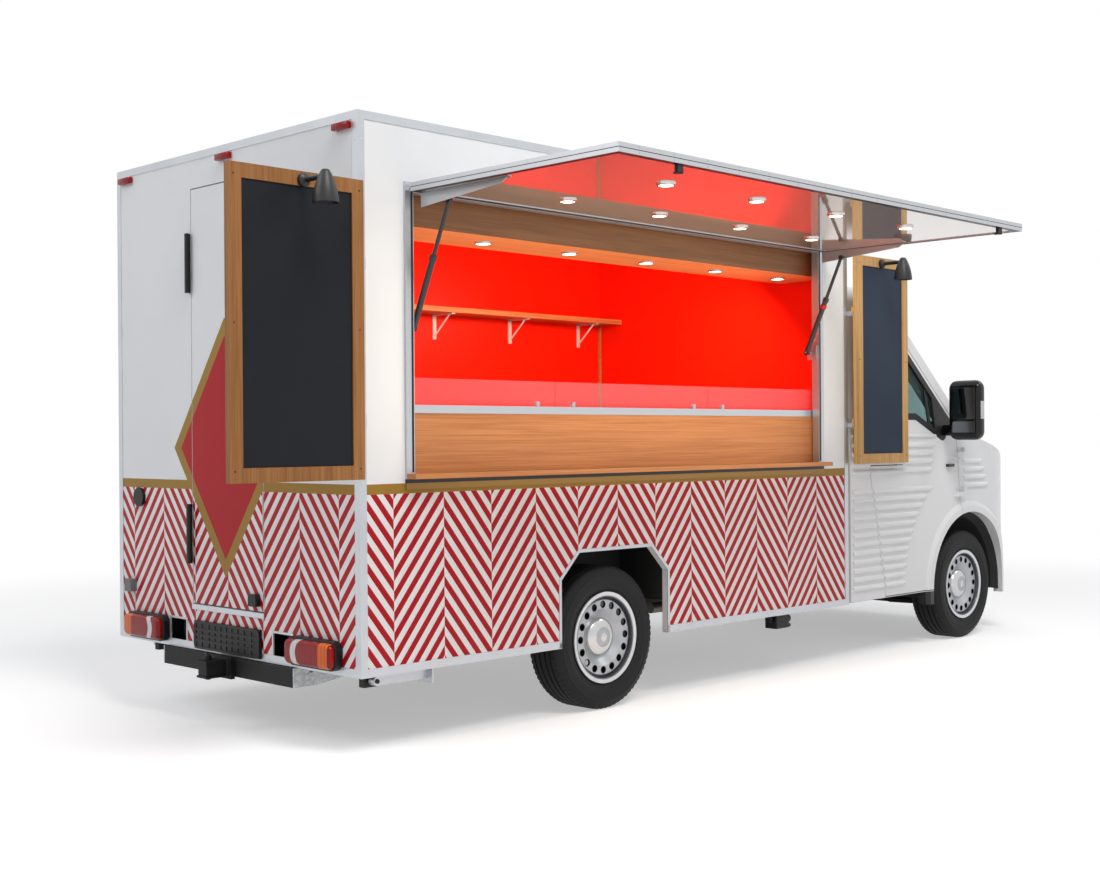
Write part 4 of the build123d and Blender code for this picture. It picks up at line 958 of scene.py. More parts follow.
def guard_recipe(wire):
    place, x, y, z = position(wire)
    smear = noise(wire, place, 5.0, 5.0)
    joint = wire.math("PINGPONG", x - guard_low.x, sheet_length / 2)
    joint = wire.math("ABSOLUTE", joint) < guard_joint
    # The pink tint of the clear sheet is a painted reflection of the red lining.
    clear = mixed(wire, smear, colour(255, 196, 206), colour(250, 180, 192))
    return {
        "Base Color": mixed(wire, joint, clear, colour(120, 40, 44)),
        "Roughness": 0.03 + smear * 0.04,
        "Alpha": 0.09 + smear * 0.03 + joint * 0.35,
    }


dress(material("brushed_steel", steel_top_recipe, metallic=1.0), "worktop")
guard_clear = material("guard_clear", guard_recipe)
dress(guard_clear, "counter_guard")
clip_limits = []
for k in range(guard_sheets):
    sheet_rear = guard_low.x + k * sheet_length
    for x in (sheet_rear + clip_inset, sheet_rear + sheet_length - clip_inset):
        clip_y = (guard_low.y - clip_lap, guard_high.y + clip_lap)
        clip_z = (guard_low.z, guard_low.z + clip_height)
        clip_limits.append((x - clip_half, x + clip_half, *clip_y, *clip_z))
piece("guard_clips", bars("guard_clips", clip_limits, 0.002), "vehicle", aluminium)

# Downlights: round lit lenses in the soffit, each in a thin steel bezel.
# They stand in one even row along the window.
soffit_low, soffit_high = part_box("soffit_lamps")
soffit_count = 6
soffit_radius = (soffit_high.y - soffit_low.y) / 2
soffit_y = (soffit_low.y + soffit_high.y) / 2
bezel_section = (
    (0.0, soffit_radius + 0.0005),
    (0.0, soffit_radius + 0.009),
    (0.003, soffit_radius + 0.008),
    (0.0085, soffit_radius + 0.002),
    (0.0085, soffit_radius + 0.0005),
)


def lamp_recipe(wire):
    place = position(wire)[0]
    glow = noise(wire, place, 40.0)
    return {
        "Base Color": mixed(wire, glow, colour(255, 248, 235), colour(250, 240, 220)),
        "Emission Color": mixed(wire, glow, colour(255, 244, 224), colour(255, 236, 206)),
        "Roughness": 0.3 + glow * 0.1,
    }


lamp_power = 7.0
lamp_lit = material("lamp_lit", lamp_recipe, emission_strength=lamp_power)
dress(lamp_lit, "soffit_lamps")
soffit_first = soffit_low.x + soffit_radius
soffit_pitch = (soffit_high.x - soffit_radius - soffit_first) / (soffit_count - 1)
for k in range(soffit_count):
    x = soffit_first + k * soffit_pitch
    foot = (x, soffit_y, soffit_high.z)
    mesh = turned("soffit_bezel_%d" % k, bezel_section, 48, foot, (0, 0, -1))
    piece("soffit_bezel_%d" % k, mesh, "vehicle", aluminium, (), 30)

# Awning: a white sandwich panel with a mirror-gloss underside in an aluminium rim, hinged above the
# window; the underside is painted a darker warm grey as painted shade. The rim is riveted, with a
# dark joint along its middle and a black seal below, and the rivets painted on its outer side are
# ringed in painted shade; two black latches hang from it.
awning_low, awning_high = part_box("awning_frame")
panel_low, panel_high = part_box("awning_panel")
rim_middle = (panel_low.z + panel_high.z) / 2
rim_under = panel_low.z - 0.004
joint_half = 0.0016
rim_rivet_pitch = 0.2
rim_rivet_level = 0.011
rim_rivet_radius = 0.0036


def awning_recipe(wire):
    place, x, y, z = position(wire)
    sheen = noise(wire, place, 2.0)
    white = mixed(wire, sheen, colour(238, 239, 241), colour(230, 232, 235))
    # The underside's darker warm grey is painted shade under the mirror gloss.
    shaded_underside = mixed(wire, sheen, colour(164, 150, 140), colour(154, 140, 130))
    below = z < panel_low.z + 0.001
    return {
        "Base Color": mixed(wire, below, white, shaded_underside),
        "Roughness": 0.25 + sheen * 0.05 - below * 0.2,
        "Coat Weight": below,
        "Normal": bump(wire, noise(wire, place, 6.0), 0.02),
    }


def rim_edge_recipe(wire):
    place, x, y, z = position(wire)
    brush = brushed(wire, place)
    metal = mixed(wire, brush, colour(208, 210, 213), colour(188, 191, 196))
    black = mixed(wire, brush, colour(18, 18, 19), colour(34, 34, 36))
    joint = between(wire, z, rim_middle - joint_half, rim_middle + joint_half)
    across = wire.math("ABSOLUTE", wire.math("FRACT", x / rim_rivet_pitch) - 0.5) * rim_rivet_pitch
    level = wire.math("ABSOLUTE", wire.math("ABSOLUTE", z - rim_middle) - rim_rivet_level)
    spot = wire.math("SQRT", across * across + level * level)
    rivet = (spot < rim_rivet_radius) * (y < awning_low.y + 0.001)
    # A dark ring round each painted rivet is painted shade.
    ring = rivet * (spot > rim_rivet_radius * 0.7)
    seal = between(wire, z, rim_under - 0.0005, rim_under + 0.0005)
    dark = wire.math("MAXIMUM", wire.math("MAXIMUM", joint, seal), ring * 0.6)
    return {
        "Base Color": mixed(wire, dark, metal, black),
        "Roughness": 0.3 + brush * 0.18,
        "Metallic": 0.85 - dark * 0.85,
        "Normal": bump(wire, brush + rivet * 2.0, 0.05),
    }


awning_gloss = material("awning_gloss", awning_recipe, specular_ior_level=0.2, coat_ior=1.8)
dress(awning_gloss, "awning_panel")
dress(material("awning_rim", rim_edge_recipe), "awning_frame")
rim_spots = []
for y in row(awning_low.y + 0.08, panel_high.y - 0.08, rim_rivet_pitch):
    for x, facing in ((awning_low.x, -1), (awning_high.x, 1)):
        for z in (rim_middle - rim_rivet_level, rim_middle + rim_rivet_level):
            rim_spots.append(((x, y, z), (facing, 0, 0)))
fasteners(
    "awning_rivets", rim_spots, rim_rivet_radius, rivet_height, aluminium, "awning"
)
latch_places = (awning_low.x + 0.360, awning_high.x - 0.215)
latch_half = 0.018
latch_drop = 0.034
latch_limits = []
for x in latch_places:
    y = awning_low.y + 0.006
    drop = rim_under - latch_drop
    latch_limits.append((x - latch_half, x + latch_half, y, y + 0.018, drop, rim_under + 0.001))
    latch_limits.append((x - latch_half / 2, x + latch_half / 2, y, y + 0.034, drop, drop + 0.008))
mesh = bars("awning_latches", latch_limits, 0.003)
piece("awning_latches", mesh, "awning", seal_rubber)

# Awning lamps: eight shallow round pucks screwed to the underside, bright shells with a lit lens
# below; the shells glow faintly as painted light. They are flatter than the solids they stand for.
lamp_box_low, lamp_box_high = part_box("awning_lamps")
puck_radius = 0.042
puck_height = 0.0105
puck_face = lamp_box_high.z - puck_height
puck_rows = (lamp_box_low.y + puck_radius, lamp_box_high.y - puck_radius)
puck_count = 4
puck_section = (
    (0.0, 0.0),
    (0.0, puck_radius),
    (0.006, puck_radius - 0.001),
    (0.010, puck_radius - 0.008),
    (0.010, puck_radius - 0.011),
    (puck_height, 0.0),
)


def puck_recipe(wire):
    place, x, y, z = position(wire)
    glow = noise(wire, place, 40.0)
    lens = z < puck_face + 0.0005
    shell = mixed(wire, glow, colour(226, 222, 218), colour(208, 204, 200))
    lit = mixed(wire, glow, colour(255, 244, 224), colour(255, 236, 206))
    return {
        "Base Color": shell,
        # Outside the lens the shell glows faintly: painted light.
        "Emission Color": mixed(wire, lens, colour(20, 14, 10), lit),
        "Metallic": 1.0 - lens,
        "Roughness": 0.12 + glow * 0.1,
    }


puck_bright = material("awning_puck", puck_recipe, emission_strength=lamp_power)
puck_first = lamp_box_low.x + puck_radius
puck_pitch = (lamp_box_high.x - puck_radius - puck_first) / (puck_count - 1)
for k in range(puck_count):
    for row_name, y in zip(("outer", "inner"), puck_rows):
        name = "awning_puck_%s_%d" % (row_name, k)
        foot = (puck_first + k * puck_pitch, y, lamp_box_high.z)
        mesh = turned(name, puck_section, 48, foot, (0, 0, -1))
        piece(name, mesh, "awning", puck_bright, ["awning_lamps"], 30)

# Gas struts: black barrels and rods, pinned at the jambs and under the brackets.
# The front one wears a red collar.
strut_foot = Vector((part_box("strut_barrel_front")[0].x + 0.017, -0.944, 1.800))
strut_line = Vector((0.0, -0.41182, 0.91126)).normalized()
collar_at = 0.278
collar_half = 0.011
collar_bore = 0.0143
collar_radius = 0.0178
collar_section = (
    (-collar_half, collar_bore),
    (-collar_half, collar_radius - 0.001),
    (-collar_half + 0.002, collar_radius),
    (collar_half - 0.002, collar_radius),
    (collar_half, collar_radius - 0.001),
    (collar_half, collar_bore),
)
strut_paint = worn((20, 20, 21), (36, 36, 38), 60.0, 3.0, 0.28, 0.15)
strut_black = material("strut_black", strut_paint, coat_weight=0.4)
collar_red = material("red_collar", worn((206, 24, 22), (170, 16, 16), 90.0, 3.0, 0.32, 0.15))
dress(strut_black, "strut_barrel_rear", "strut_barrel_front", "strut_rod_rear", "strut_rod_front")
mesh = turned("strut_collar", collar_section, 36, strut_foot + strut_line * collar_at, strut_line)
piece("strut_collar", mesh, "strut_barrel_front", collar_red, (), 30)

# Menu boards: oak frames with blank slate panels let into them, hung on lift-off hinges.
# The front board's frame is painted paler and its slate bluer, as painted light.
# Three dark screws hold each hinge stile, and a black bell lamp stands out near the top.
boards = (("rear_board", -1, 0.640), ("front_board", 1, 0.548))
board_frame = 0.058
board_recess = 0.010
slate_thick = 0.004
board_oak = (colour(112, 70, 36), colour(154, 104, 58), colour(182, 132, 82))
# Tones for the front board's frame, paler as painted light.
lit_board_oak = (colour(166, 118, 66), colour(204, 160, 102), colour(222, 184, 130))
bell_reach = 0.150
bell_drop = 0.105
bell_radius = 0.052
screw_inset = 0.022
screw_end = 0.045
arm_below_top = 0.036
arm_radius = 0.011
clip_radius = 0.026
# Bell from its neck down the outside and up the inside: depth below the arm, radius
bell_section = (
    (-0.024, 0.0),
    (-0.024, 0.012),
    (-0.021, 0.016),
    (-0.010, 0.0225),
    (0.004, 0.029),
    (0.022, 0.036),
    (0.042, 0.0422),
    (0.062, 0.0468),
    (0.080, 0.0498),
    (0.097, 0.0515),
    (bell_drop, bell_radius),
    (bell_drop, bell_radius - 0.003),
    (0.080, 0.046),
    (0.058, 0.041),
    (0.040, 0.036),
    (0.024, 0.028),
    (0.020, 0.014),
    (0.058, 0.012),
    (0.064, 0.0),
)


def board_recipe(wire):
    place, x, y, z = position(wire)
    oak, pores = oak_grain(wire, place, "z", board_oak)
    # The front board's paler oak is painted light.
    lit_oak = oak_grain(wire, place, "z", lit_board_oak)[0]
    return {
        "Base Color": mixed(wire, x > 0.0, oak, lit_oak),
        "Roughness": 0.4 + pores * 0.2,
        "Normal": bump(wire, pores, 0.12, 0.0006),
    }


def slate_recipe(wire):
    place, x, y, z = position(wire)
    chalk = noise(wire, place, 4.0, 6.0, 0.65)
    dark = mixed(wire, chalk, colour(15, 18, 23), colour(27, 31, 38))
    lit_slate = mixed(wire, chalk, colour(28, 40, 56), colour(44, 58, 76))
    # The front board's bluer slate is painted light.
    return {
        "Base Color": mixed(wire, x > 0.0, dark, lit_slate),
        "Roughness": 0.42 + chalk * 0.2,
        "Normal": bump(wire, noise(wire, place, 400.0), 0.06, 0.0004),
    }


dress(material("board_oak", board_recipe, specular_ior_level=0.3), "rear_board", "front_board")
slate = material("blank_slate", slate_recipe, specular_ior_level=0.2)
bell_paint = worn((20, 20, 22), (38, 38, 41), 500.0, 3.0, 0.38, 0.12, (0.08, 0.0003))
bell_black = material("bell_black", bell_paint)
for board, reach, width in boards:
    low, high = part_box(board)
    face_y = low.y
    slate_y = face_y + board_recess
    far_x = low.x if reach < 0 else high.x
    near_x = far_x - reach * width
    inner = sorted((near_x + reach * board_frame, far_x - reach * board_frame))
    slab = (
        inner[0] + 0.0005,
        inner[1] - 0.0005,
        slate_y - slate_thick,
        slate_y + 0.0005,
        low.z + board_frame + 0.0005,
        high.z - board_frame - 0.0005,
    )
    piece(board + "_slate", bars(board + "_slate", [slab], 0.0006), board, slate)
    screws = []
    for stile_x in (near_x + reach * screw_inset, far_x - reach * screw_inset):
        for z in (low.z + screw_end, (low.z + high.z) / 2, high.z - screw_end):
            screws.append(((stile_x, face_y, z), (0, -1, 0)))
    fasteners(board + "_screws", screws, 0.0045, 0.0012, bell_black, board)

    lamp_low, lamp_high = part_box(board + "_lamp")
    lamp_x = (lamp_low.x + lamp_high.x) / 2
    arm_z = high.z - arm_below_top
    bell_top = (lamp_x, face_y - bell_reach, arm_z)
    mesh = turned(board + "_bell", bell_section, 64, bell_top, (0, 0, -1))
    piece(board + "_bell", mesh, board, bell_black, [board + "_lamp"], 40)
    arm_section = (
        (0.0, 0.0),
        (0.0, clip_radius),
        (0.016, clip_radius),
        (0.020, clip_radius - 0.004),
        (0.024, arm_radius + 0.003),
        (0.028, arm_radius),
        (bell_reach - 0.018, arm_radius),
        (bell_reach - 0.010, arm_radius + 0.004),
        (bell_reach + 0.012, arm_radius + 0.004),
        (bell_reach + 0.014, arm_radius + 0.002),
        (bell_reach + 0.014, 0.0),
    )
    mesh = turned(board + "_arm", arm_section, 40, (lamp_x, face_y, arm_z), (0, -1, 0))
    piece(board + "_arm", mesh, board, bell_black, (), 30)

# Rear fittings: black moulded hinge covers, filler cap, slotted plate holder and lamp housings.
# The wall catch is grey.
catch_from = 0.82
catch_z = (0.56, 0.65)


def moulding_recipe(wire):
    place, x, y, z = position(wire)
    grain = noise(wire, place, 420.0)
    black = mixed(wire, grain, colour(12, 12, 13), colour(22, 22, 24))
    grey = mixed(wire, grain, colour(120, 122, 125), colour(98, 100, 103))
    catch = (y > catch_from) * between(wire, z, *catch_z)
    return {
        "Base Color": mixed(wire, catch, black, grey),
        "Roughness": 0.36 + grain * 0.14,
        "Normal": bump(wire, grain, 0.1, 0.0003),
    }


moulded_black = material("moulded_black", moulding_recipe, specular_ior_level=0.3)
dress(moulded_black, "rear_fittings")


def rounded(outline, radius, steps=6):
    """A flat outline with each corner turned on an arc; radius is one value or one a corner."""
    outline = [Vector(corner) for corner in outline]
    radii = radius if isinstance(radius, (list, tuple)) else [radius] * len(outline)
    points = []
    for k, corner in enumerate(outline):
        back = (outline[k - 1] - corner).normalized()
        ahead = (outline[(k + 1) % len(outline)] - corner).normalized()
        half = back.angle(ahead) / 2
        middle = corner + (back + ahead).normalized() * (radii[k] / math.sin(half))
        start = corner + back * (radii[k] / math.tan(half)) - middle
        end = corner + ahead * (radii[k] / math.tan(half)) - middle
        turn = math.atan2(start.x * end.y - start.y * end.x, start.dot(end))
        for step in range(steps + 1):
            angle = turn * step / steps
            spin = Matrix(((math.cos(angle), -math.sin(angle)), (math.sin(angle), math.cos(angle))))
            points.append(middle + spin @ start)
    return points


def ring_frame(name, outline, radius, lap, bite, heights, place, body, finish):
    """A flat ring that laps over a rounded outline and bites inside it; place(u, v, w) sets it."""
    outer = rounded(grown(outline, lap), radius + lap)
    inner = rounded(grown(outline, -bite), max(radius - bite, 0.003))
    low, high = heights
    vertices = []
    for points, height in ((outer, high), (inner, high), (inner, low), (outer, low)):
        vertices += [place(point.x, point.y, height) for point in points]
    mesh = closed_mesh(name, vertices, quads(4, len(outer), True))
    return piece(name, mesh, body, finish, (), 30)


plate_half = 0.270
plate_low = skirt + 0.008
plate_high = plate_low + 0.130
plate_face = box_rear - 0.015
plate_outline = (
    (-plate_half, plate_low),
    (plate_half, plate_low),
    (plate_half, plate_high),
    (-plate_half, plate_high),
)
ring_frame(
    "plate_holder_rim",
    plate_outline,
    0.024,
    0.0,
    0.012,
    (0.0, 0.004),
    lambda u, v, w: (plate_face - w, u, v),
    "vehicle",
    moulded_black,
)
plate_rim = 0.012
upright_places = (-0.255, -0.205, -0.145, -0.095, -0.046, 0.0, 0.046, 0.095, 0.145, 0.205, 0.255)
upright_half = 0.005
rail_levels = (0.039, 0.065, 0.091)
rail_half = 0.006
plate_bars = []
for y in upright_places:
    x_limits = (plate_face - 0.003, plate_face + 0.0005)
    z_limits = (plate_low + plate_rim, plate_high - plate_rim)
    plate_bars.append((*x_limits, y - upright_half, y + upright_half, *z_limits))
for level in rail_levels:
    x_limits = (plate_face - 0.0034, plate_face + 0.0005)
    y_limits = (-plate_half + plate_rim, plate_half - plate_rim)
    z = plate_low + level
    plate_bars.append((*x_limits, *y_limits, z - rail_half, z + rail_half))
mesh = bars("plate_holder_bars", plate_bars, 0.001)
piece("plate_holder_bars", mesh, "vehicle", moulded_black)

# Rear trims: aluminium frames round the two steady pockets, and the sill strip under the door.
# They are cut from the box's edge profile and glued on. Rubber strips seal the door's gap inside.
pocket_middle = 0.430
pocket_half = 0.070
pocket_top = skirt + 0.132
pocket_trim = 0.010
door_gap_right = -0.291
door_gap_left = 0.303
sill_top = skirt + 0.212
sill_height = 0.024
trim_limits = [
    (box_rear - 2 * skin, box_rear, door_gap_right, door_gap_left, sill_top - sill_height, sill_top)
]
for side in (1, -1):
    middle = side * pocket_middle
    inner = pocket_half
    outer = pocket_half + pocket_trim
    rear_x = (box_rear - skin - 0.0005, box_rear)
    trim_z = (pocket_top, pocket_top + pocket_trim)
    trim_limits.append((*rear_x, middle - outer, middle + outer, *trim_z))
    for edge in (-1, 1):
        y_limits = sorted((middle + edge * inner, middle + edge * outer))
        trim_limits.append((*rear_x, *y_limits, skirt, pocket_top))
piece("rear_trims", bars("rear_trims", trim_limits, 0.0008), "vehicle", aluminium)
door_low, door_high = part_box("rear_door")
strip_out = 0.014
strip_in = 0.010
strip_x = (lining_rear + 0.0003, lining_rear + 0.006)
strip_z = (door_low.z, door_high.z + strip_out)
strip_limits = [
    (*strip_x, door_low.y - strip_out, door_low.y + strip_in, *strip_z),
    (*strip_x, door_high.y - strip_in, door_high.y + strip_out, *strip_z),
    (*strip_x, door_low.y, door_high.y, door_high.z - strip_in, door_high.z + strip_out),
]
mesh = bars("door_seals", strip_limits, 0.001)
piece("door_seals", mesh, "vehicle", seal_rubber)
pocket_deep = 0.110
pocket_wall = 0.003
pocket_limits = []
for side in (1, -1):
    y0, y1 = side * pocket_middle - pocket_half, side * pocket_middle + pocket_half
    x0, x1 = box_rear + 0.002, box_rear + pocket_deep
    z0, z1 = skirt + 0.005, pocket_top
    pocket_limits.append((x1 - pocket_wall, x1, y0, y1, z0, z1))
    pocket_limits.append((x0, x1, y0, y0 + pocket_wall, z0, z1))
    pocket_limits.append((x0, x1, y1 - pocket_wall, y1, z0, z1))
    pocket_limits.append((x0, x1, y0, y1, z1 - pocket_wall, z1))
    pocket_limits.append((x0, x1, y0, y1, z0, z0 + pocket_wall))
mesh = bars("pocket_liners", pocket_limits, 0.0005)
piece("pocket_liners", mesh, "vehicle", moulded_black)

# Skirt socket: a small black moulded box hung under the right skirt on a pale bracket.
# A round cap closes its front end.
socket_rear, socket_front = -0.365, -0.245
socket_outer, socket_inner = -box_half + 0.018, -box_half + 0.098
socket_low, socket_high = skirt - 0.082, skirt - 0.006
socket_foot_inset = 0.012
socket_lug_inset = 0.020
socket_cap_radius = 0.022
socket_cap_length = 0.046
socket_cap_drop = 0.030
socket_limits = [
    (socket_rear, socket_front, socket_outer, socket_inner, socket_low, socket_high),
    (
        socket_rear + 0.020,
        socket_front + 0.034,
        socket_outer + socket_foot_inset,
        socket_inner - socket_foot_inset,
        socket_low,
        socket_low + 0.020,
    ),
    (
        socket_rear - 0.028,
        socket_rear + 0.002,
        socket_outer + socket_lug_inset,
        socket_inner - socket_lug_inset,
        socket_high - 0.038,
        socket_high,
    ),
]
mesh = bars("skirt_socket", socket_limits, 0.006)
piece("skirt_socket", mesh, "vehicle", moulded_black)
socket_cap_section = (
    (-0.004, 0.0),
    (-0.004, socket_cap_radius),
    (socket_cap_length - 0.006, socket_cap_radius),
    (socket_cap_length, socket_cap_radius - 0.006),
    (socket_cap_length, 0.0),
)
cap_foot = (socket_front, (socket_outer + socket_inner) / 2, socket_high - socket_cap_drop)
mesh = turned("socket_cap", socket_cap_section, 40, cap_foot, (1, 0, 0))
piece("socket_cap", mesh, "vehicle", moulded_black, (), 30)
socket_bracket = (
    socket_rear + 0.006,
    socket_front + 0.036,
    socket_outer - 0.004,
    socket_outer + 0.030,
    socket_high - 0.002,
    skirt + 0.001,
)
mesh = bars("socket_bracket", [socket_bracket], 0.001)
piece("socket_bracket", mesh, "vehicle", aluminium)

# Tail lamps: a black rounded base and a ribbed lens, amber at the outer end, clear in a crescent
# near the inner end and deep red between; three red markers sit along the roof's edge.
lens_y = box_half - 0.300
lens_z = 0.417
lamp_half_width = 0.175
lamp_half_height = 0.063
lamp_corner = 0.040
lamp_face = box_rear - 0.065
lamp_base = box_rear - 0.025
amber_from = 0.085
amber_to = 0.150
clear_at = -0.095
clear_half = 0.019
marker_y = box_half - 0.095
marker_z = 2.626


def lens_recipe(wire):
    place, x, y, z = position(wire)
    out = wire.math("ABSOLUTE", y) - lens_y
    rise = z - lens_z
    ribs = wire.math("PINGPONG", out * 90.0, 1.0)
    red = mixed(wire, ribs, colour(128, 2, 6), colour(158, 4, 9))
    amber = mixed(wire, ribs, colour(206, 84, 6), colour(226, 108, 12))
    clear = mixed(wire, ribs, colour(206, 202, 202), colour(232, 230, 230))
    low_lamp = z < 1.0
    bow = rise * rise * 9.0
    crescent = wire.math("ABSOLUTE", out - bow - clear_at) < clear_half
    tint = mixed(wire, between(wire, out, amber_from, amber_to) * low_lamp, red, amber)
    tint = mixed(wire, crescent * low_lamp, tint, clear)
    return {
        "Base Color": tint,
        "Roughness": 0.12 + ribs * 0.08,
        "Normal": bump(wire, ribs, 0.2, 0.0006),
    }


def capped(name, outline, radius, levels, place):
    """A rounded outline stacked through (height, inset) levels and closed at both ends."""
    rings = []
    for height, inset in levels:
        ring = rounded(grown(outline, -inset), max(radius - inset, 0.004))
        rings.append([place(point.x, point.y, height) for point in ring])
    return stacked(name, rings)


tail_lens = material("tail_lens", lens_recipe, specular_ior_level=0.3)
for side_name, side in both_sides:
    lamp_outline = [
        (across * lamp_half_width, upright * lamp_half_height)
        for across, upright in ((-1, -1), (1, -1), (1, 1), (-1, 1))
    ]
    mesh = capped(
        "lamp_base_" + side_name,
        lamp_outline,
        lamp_corner,
        ((box_rear, 0.0), (lamp_base - 0.008, 0.0), (lamp_base - 0.012, 0.003)),
        lambda u, v, w: (w, side * lens_y + u, lens_z + v),
    )
    piece("lamp_base_" + side_name, mesh, "vehicle", moulded_black, (), 30)
    lens_levels = (
        (lamp_base, 0.009),
        (lamp_face + 0.018, 0.009),
        (lamp_face + 0.010, 0.011),
        (lamp_face + 0.004, 0.016),
        (lamp_face + 0.001, 0.023),
        (lamp_face, 0.032),
    )
    mesh = capped(
        "tail_lens_" + side_name,
        lamp_outline,
        lamp_corner,
        lens_levels,
        lambda u, v, w: (w, side * lens_y + u, lens_z + v),
    )
    piece("tail_lens_" + side_name, mesh, "vehicle", tail_lens, ["rear_lamps"], 40)
marker_limits = [
    (box_rear - 0.026, box_rear, y - 0.055, y + 0.055, marker_z - 0.015, marker_z + 0.015)
    for y in (-marker_y, 0.0, marker_y)
]
mesh = bars("roof_markers", marker_limits, 0.005)
piece("roof_markers", mesh, "vehicle", tail_lens, ["rear_lamps"], 40)

# Cab: pressed steel panels in glossy white, with black door handles and undersealed inner panels.
# The ribs are pressed into the doors, the body behind them and the fenders.
bulkhead_face = 1.247
handle_x = (1.425, 1.505)
handle_z = (1.118, 1.144)
flap_top = 0.346
flap_front = 1.400
cab_half = 0.985
hidden_half = 0.930
hidden_front = 1.800
hidden_top = 1.240


def white_recipe(wire):
    place, x, y, z = position(wire)
    sheen = noise(wire, place, 2.0)
    width = wire.math("ABSOLUTE", y)
    paint = mixed(wire, sheen, colour(242, 243, 245), colour(234, 236, 239))
    black = mixed(wire, sheen, colour(20, 20, 21), colour(34, 34, 35))
    handle = (width > cab_half + 0.0015) * between(wire, x, *handle_x) * between(wire, z, *handle_z)
    inside = between(wire, x, bulkhead_face, hidden_front)
    hidden = (width < hidden_half) * inside * (z < hidden_top)
    flap = (z < flap_top) * (x < flap_front)
    dark = wire.math("MAXIMUM", wire.math("MAXIMUM", handle, hidden), flap)
    return {
        "Base Color": mixed(wire, dark, paint, black),
        "Roughness": 0.2 + sheen * 0.06,
        "Normal": bump(wire, noise(wire, place, 140.0), 0.012),
    }


cab_white = material("cab_white_paint", white_recipe, specular_ior_level=0.4)
dress(cab_white, "cab_body", "nose", "bonnet", "cab_door_left", "cab_door_right")

# Ribs: pressed bands with sloping flanks, in rows on the doors, behind them and on the fenders.
# Those of the lower door stop on a circle round the wheel, the others step forward or back.
rib_pitch = 0.052
rib_half = 0.017
rib_rake = 0.022
rib_shoulder = 0.016
rib_foot = 0.003
rib_end_flank = 0.007
rib_top = 0.0115
rib_rear = 0.365
rib_fan = 0.800
rib_root = 0.002
rib_ease = 0.0025
lower_rib = 0.423
lower_rib_count = 12
belt_rib = 1.112
belt_rib_count = 4
belt_rib_end = 1.250
belt_rib_step = 0.014
fender_rib = 1.000
fender_rib_count = 4
fender_rib_rear = 1.650
fender_rib_reach = 0.235
fender_rib_step = 0.025
panel_gap = 0.006
door_foot = (0.718, 0.352)
door_bend = (0.560, 1.075)
door_step = (0.920, 1.145)


def door_rear(z):
    """Where the door's rear edge lies at a height."""
    if z > door_step[1]:
        return door_step[0]
    share = min(1.0, (z - door_foot[1]) / (door_bend[1] - door_foot[1]))
    return door_foot[0] + (door_bend[0] - door_foot[0]) * share


# One row on the cab side: its height, where it ends ahead
rib_rows = []
for n in range(lower_rib_count):
    z = lower_rib + n * rib_pitch
    rib_rows.append((z, wheel_x - math.sqrt(rib_fan**2 - (z - axle_z) ** 2)))
for n in range(belt_rib_count):
    rib_rows.append((belt_rib + n * rib_pitch, belt_rib_end + n * belt_rib_step))
for side_name, side in both_sides:
    outlines = {"door_ribs_": [], "body_ribs_": [], "fender_ribs_": []}
    for z, end in rib_rows:
        low, high = z - rib_half, z + rib_half
        behind = [door_rear(level) - panel_gap for level in (low, high)]
        ahead = [door_rear(level) + panel_gap for level in (low, high)]
        outlines["body_ribs_"].append(
            ((rib_rear, low), (behind[0], low), (behind[1], high), (rib_rear, high))
        )
        outlines["door_ribs_"].append(
            ((ahead[0], low), (end - rib_rake, low), (end, high), (ahead[1], high))
        )
    for n in range(fender_rib_count):
        z = fender_rib + n * rib_pitch
        low, high = z - rib_half, z + rib_half
        end = wheel_x + fender_rib_reach - n * fender_rib_step
        outlines["fender_ribs_"].append(
            ((fender_rib_rear, low), (end - rib_rake, low), (end, high), (fender_rib_rear, high))
        )
    for group, rows in outlines.items():
        vertices, faces = [], []
        for outline in rows:
            start = len(vertices)
            crest = grown(outline, -rib_end_flank)
            levels = (outline[0][1] + rib_foot, outline[2][1] - rib_shoulder)
            vertices += [(u, side * (cab_half - rib_root), v) for u, v in outline]
            vertices += [
                (point.x, side * (cab_half + rib_top), levels[0 if k < 2 else 1])
                for k, point in enumerate(crest)
            ]
            block = [(0, 1, 2, 3), (4, 5, 6, 7), *quads(2, 4)]
            faces += [tuple(start + k for k in face) for face in block]
        mesh = closed_mesh(group + side_name, vertices, faces)
        work = bmesh.new()
        work.from_mesh(mesh)
        crest_y = cab_half + rib_top - 1e-4
        edges = [e for e in work.edges if all(abs(v.co.y) > crest_y for v in e.verts)]
        bmesh.ops.bevel(work, geom=edges, offset=rib_ease, segments=3, profile=0.5, affect="EDGES")
        work.to_mesh(mesh)
        work.free()
        body = "cab_door_" + side_name if group == "door_ribs_" else "vehicle"
        piece(group + side_name, mesh, body, cab_white, (), 25)

# Front wheel houses: moulded black liners over the steered wheels, flared to the fender's lip.
# Each is one thin profile swept round the axle.
liner_radius = 0.440
liner_wall = 0.003
liner_inner = 0.500
liner_lip = 0.934
liner_lip_radius = 0.476
liner_steps = 40
liner_start = -8
liner_sweep = 196
liner_profile = ((liner_inner, liner_radius), (0.895, liner_radius), (liner_lip, liner_lip_radius))

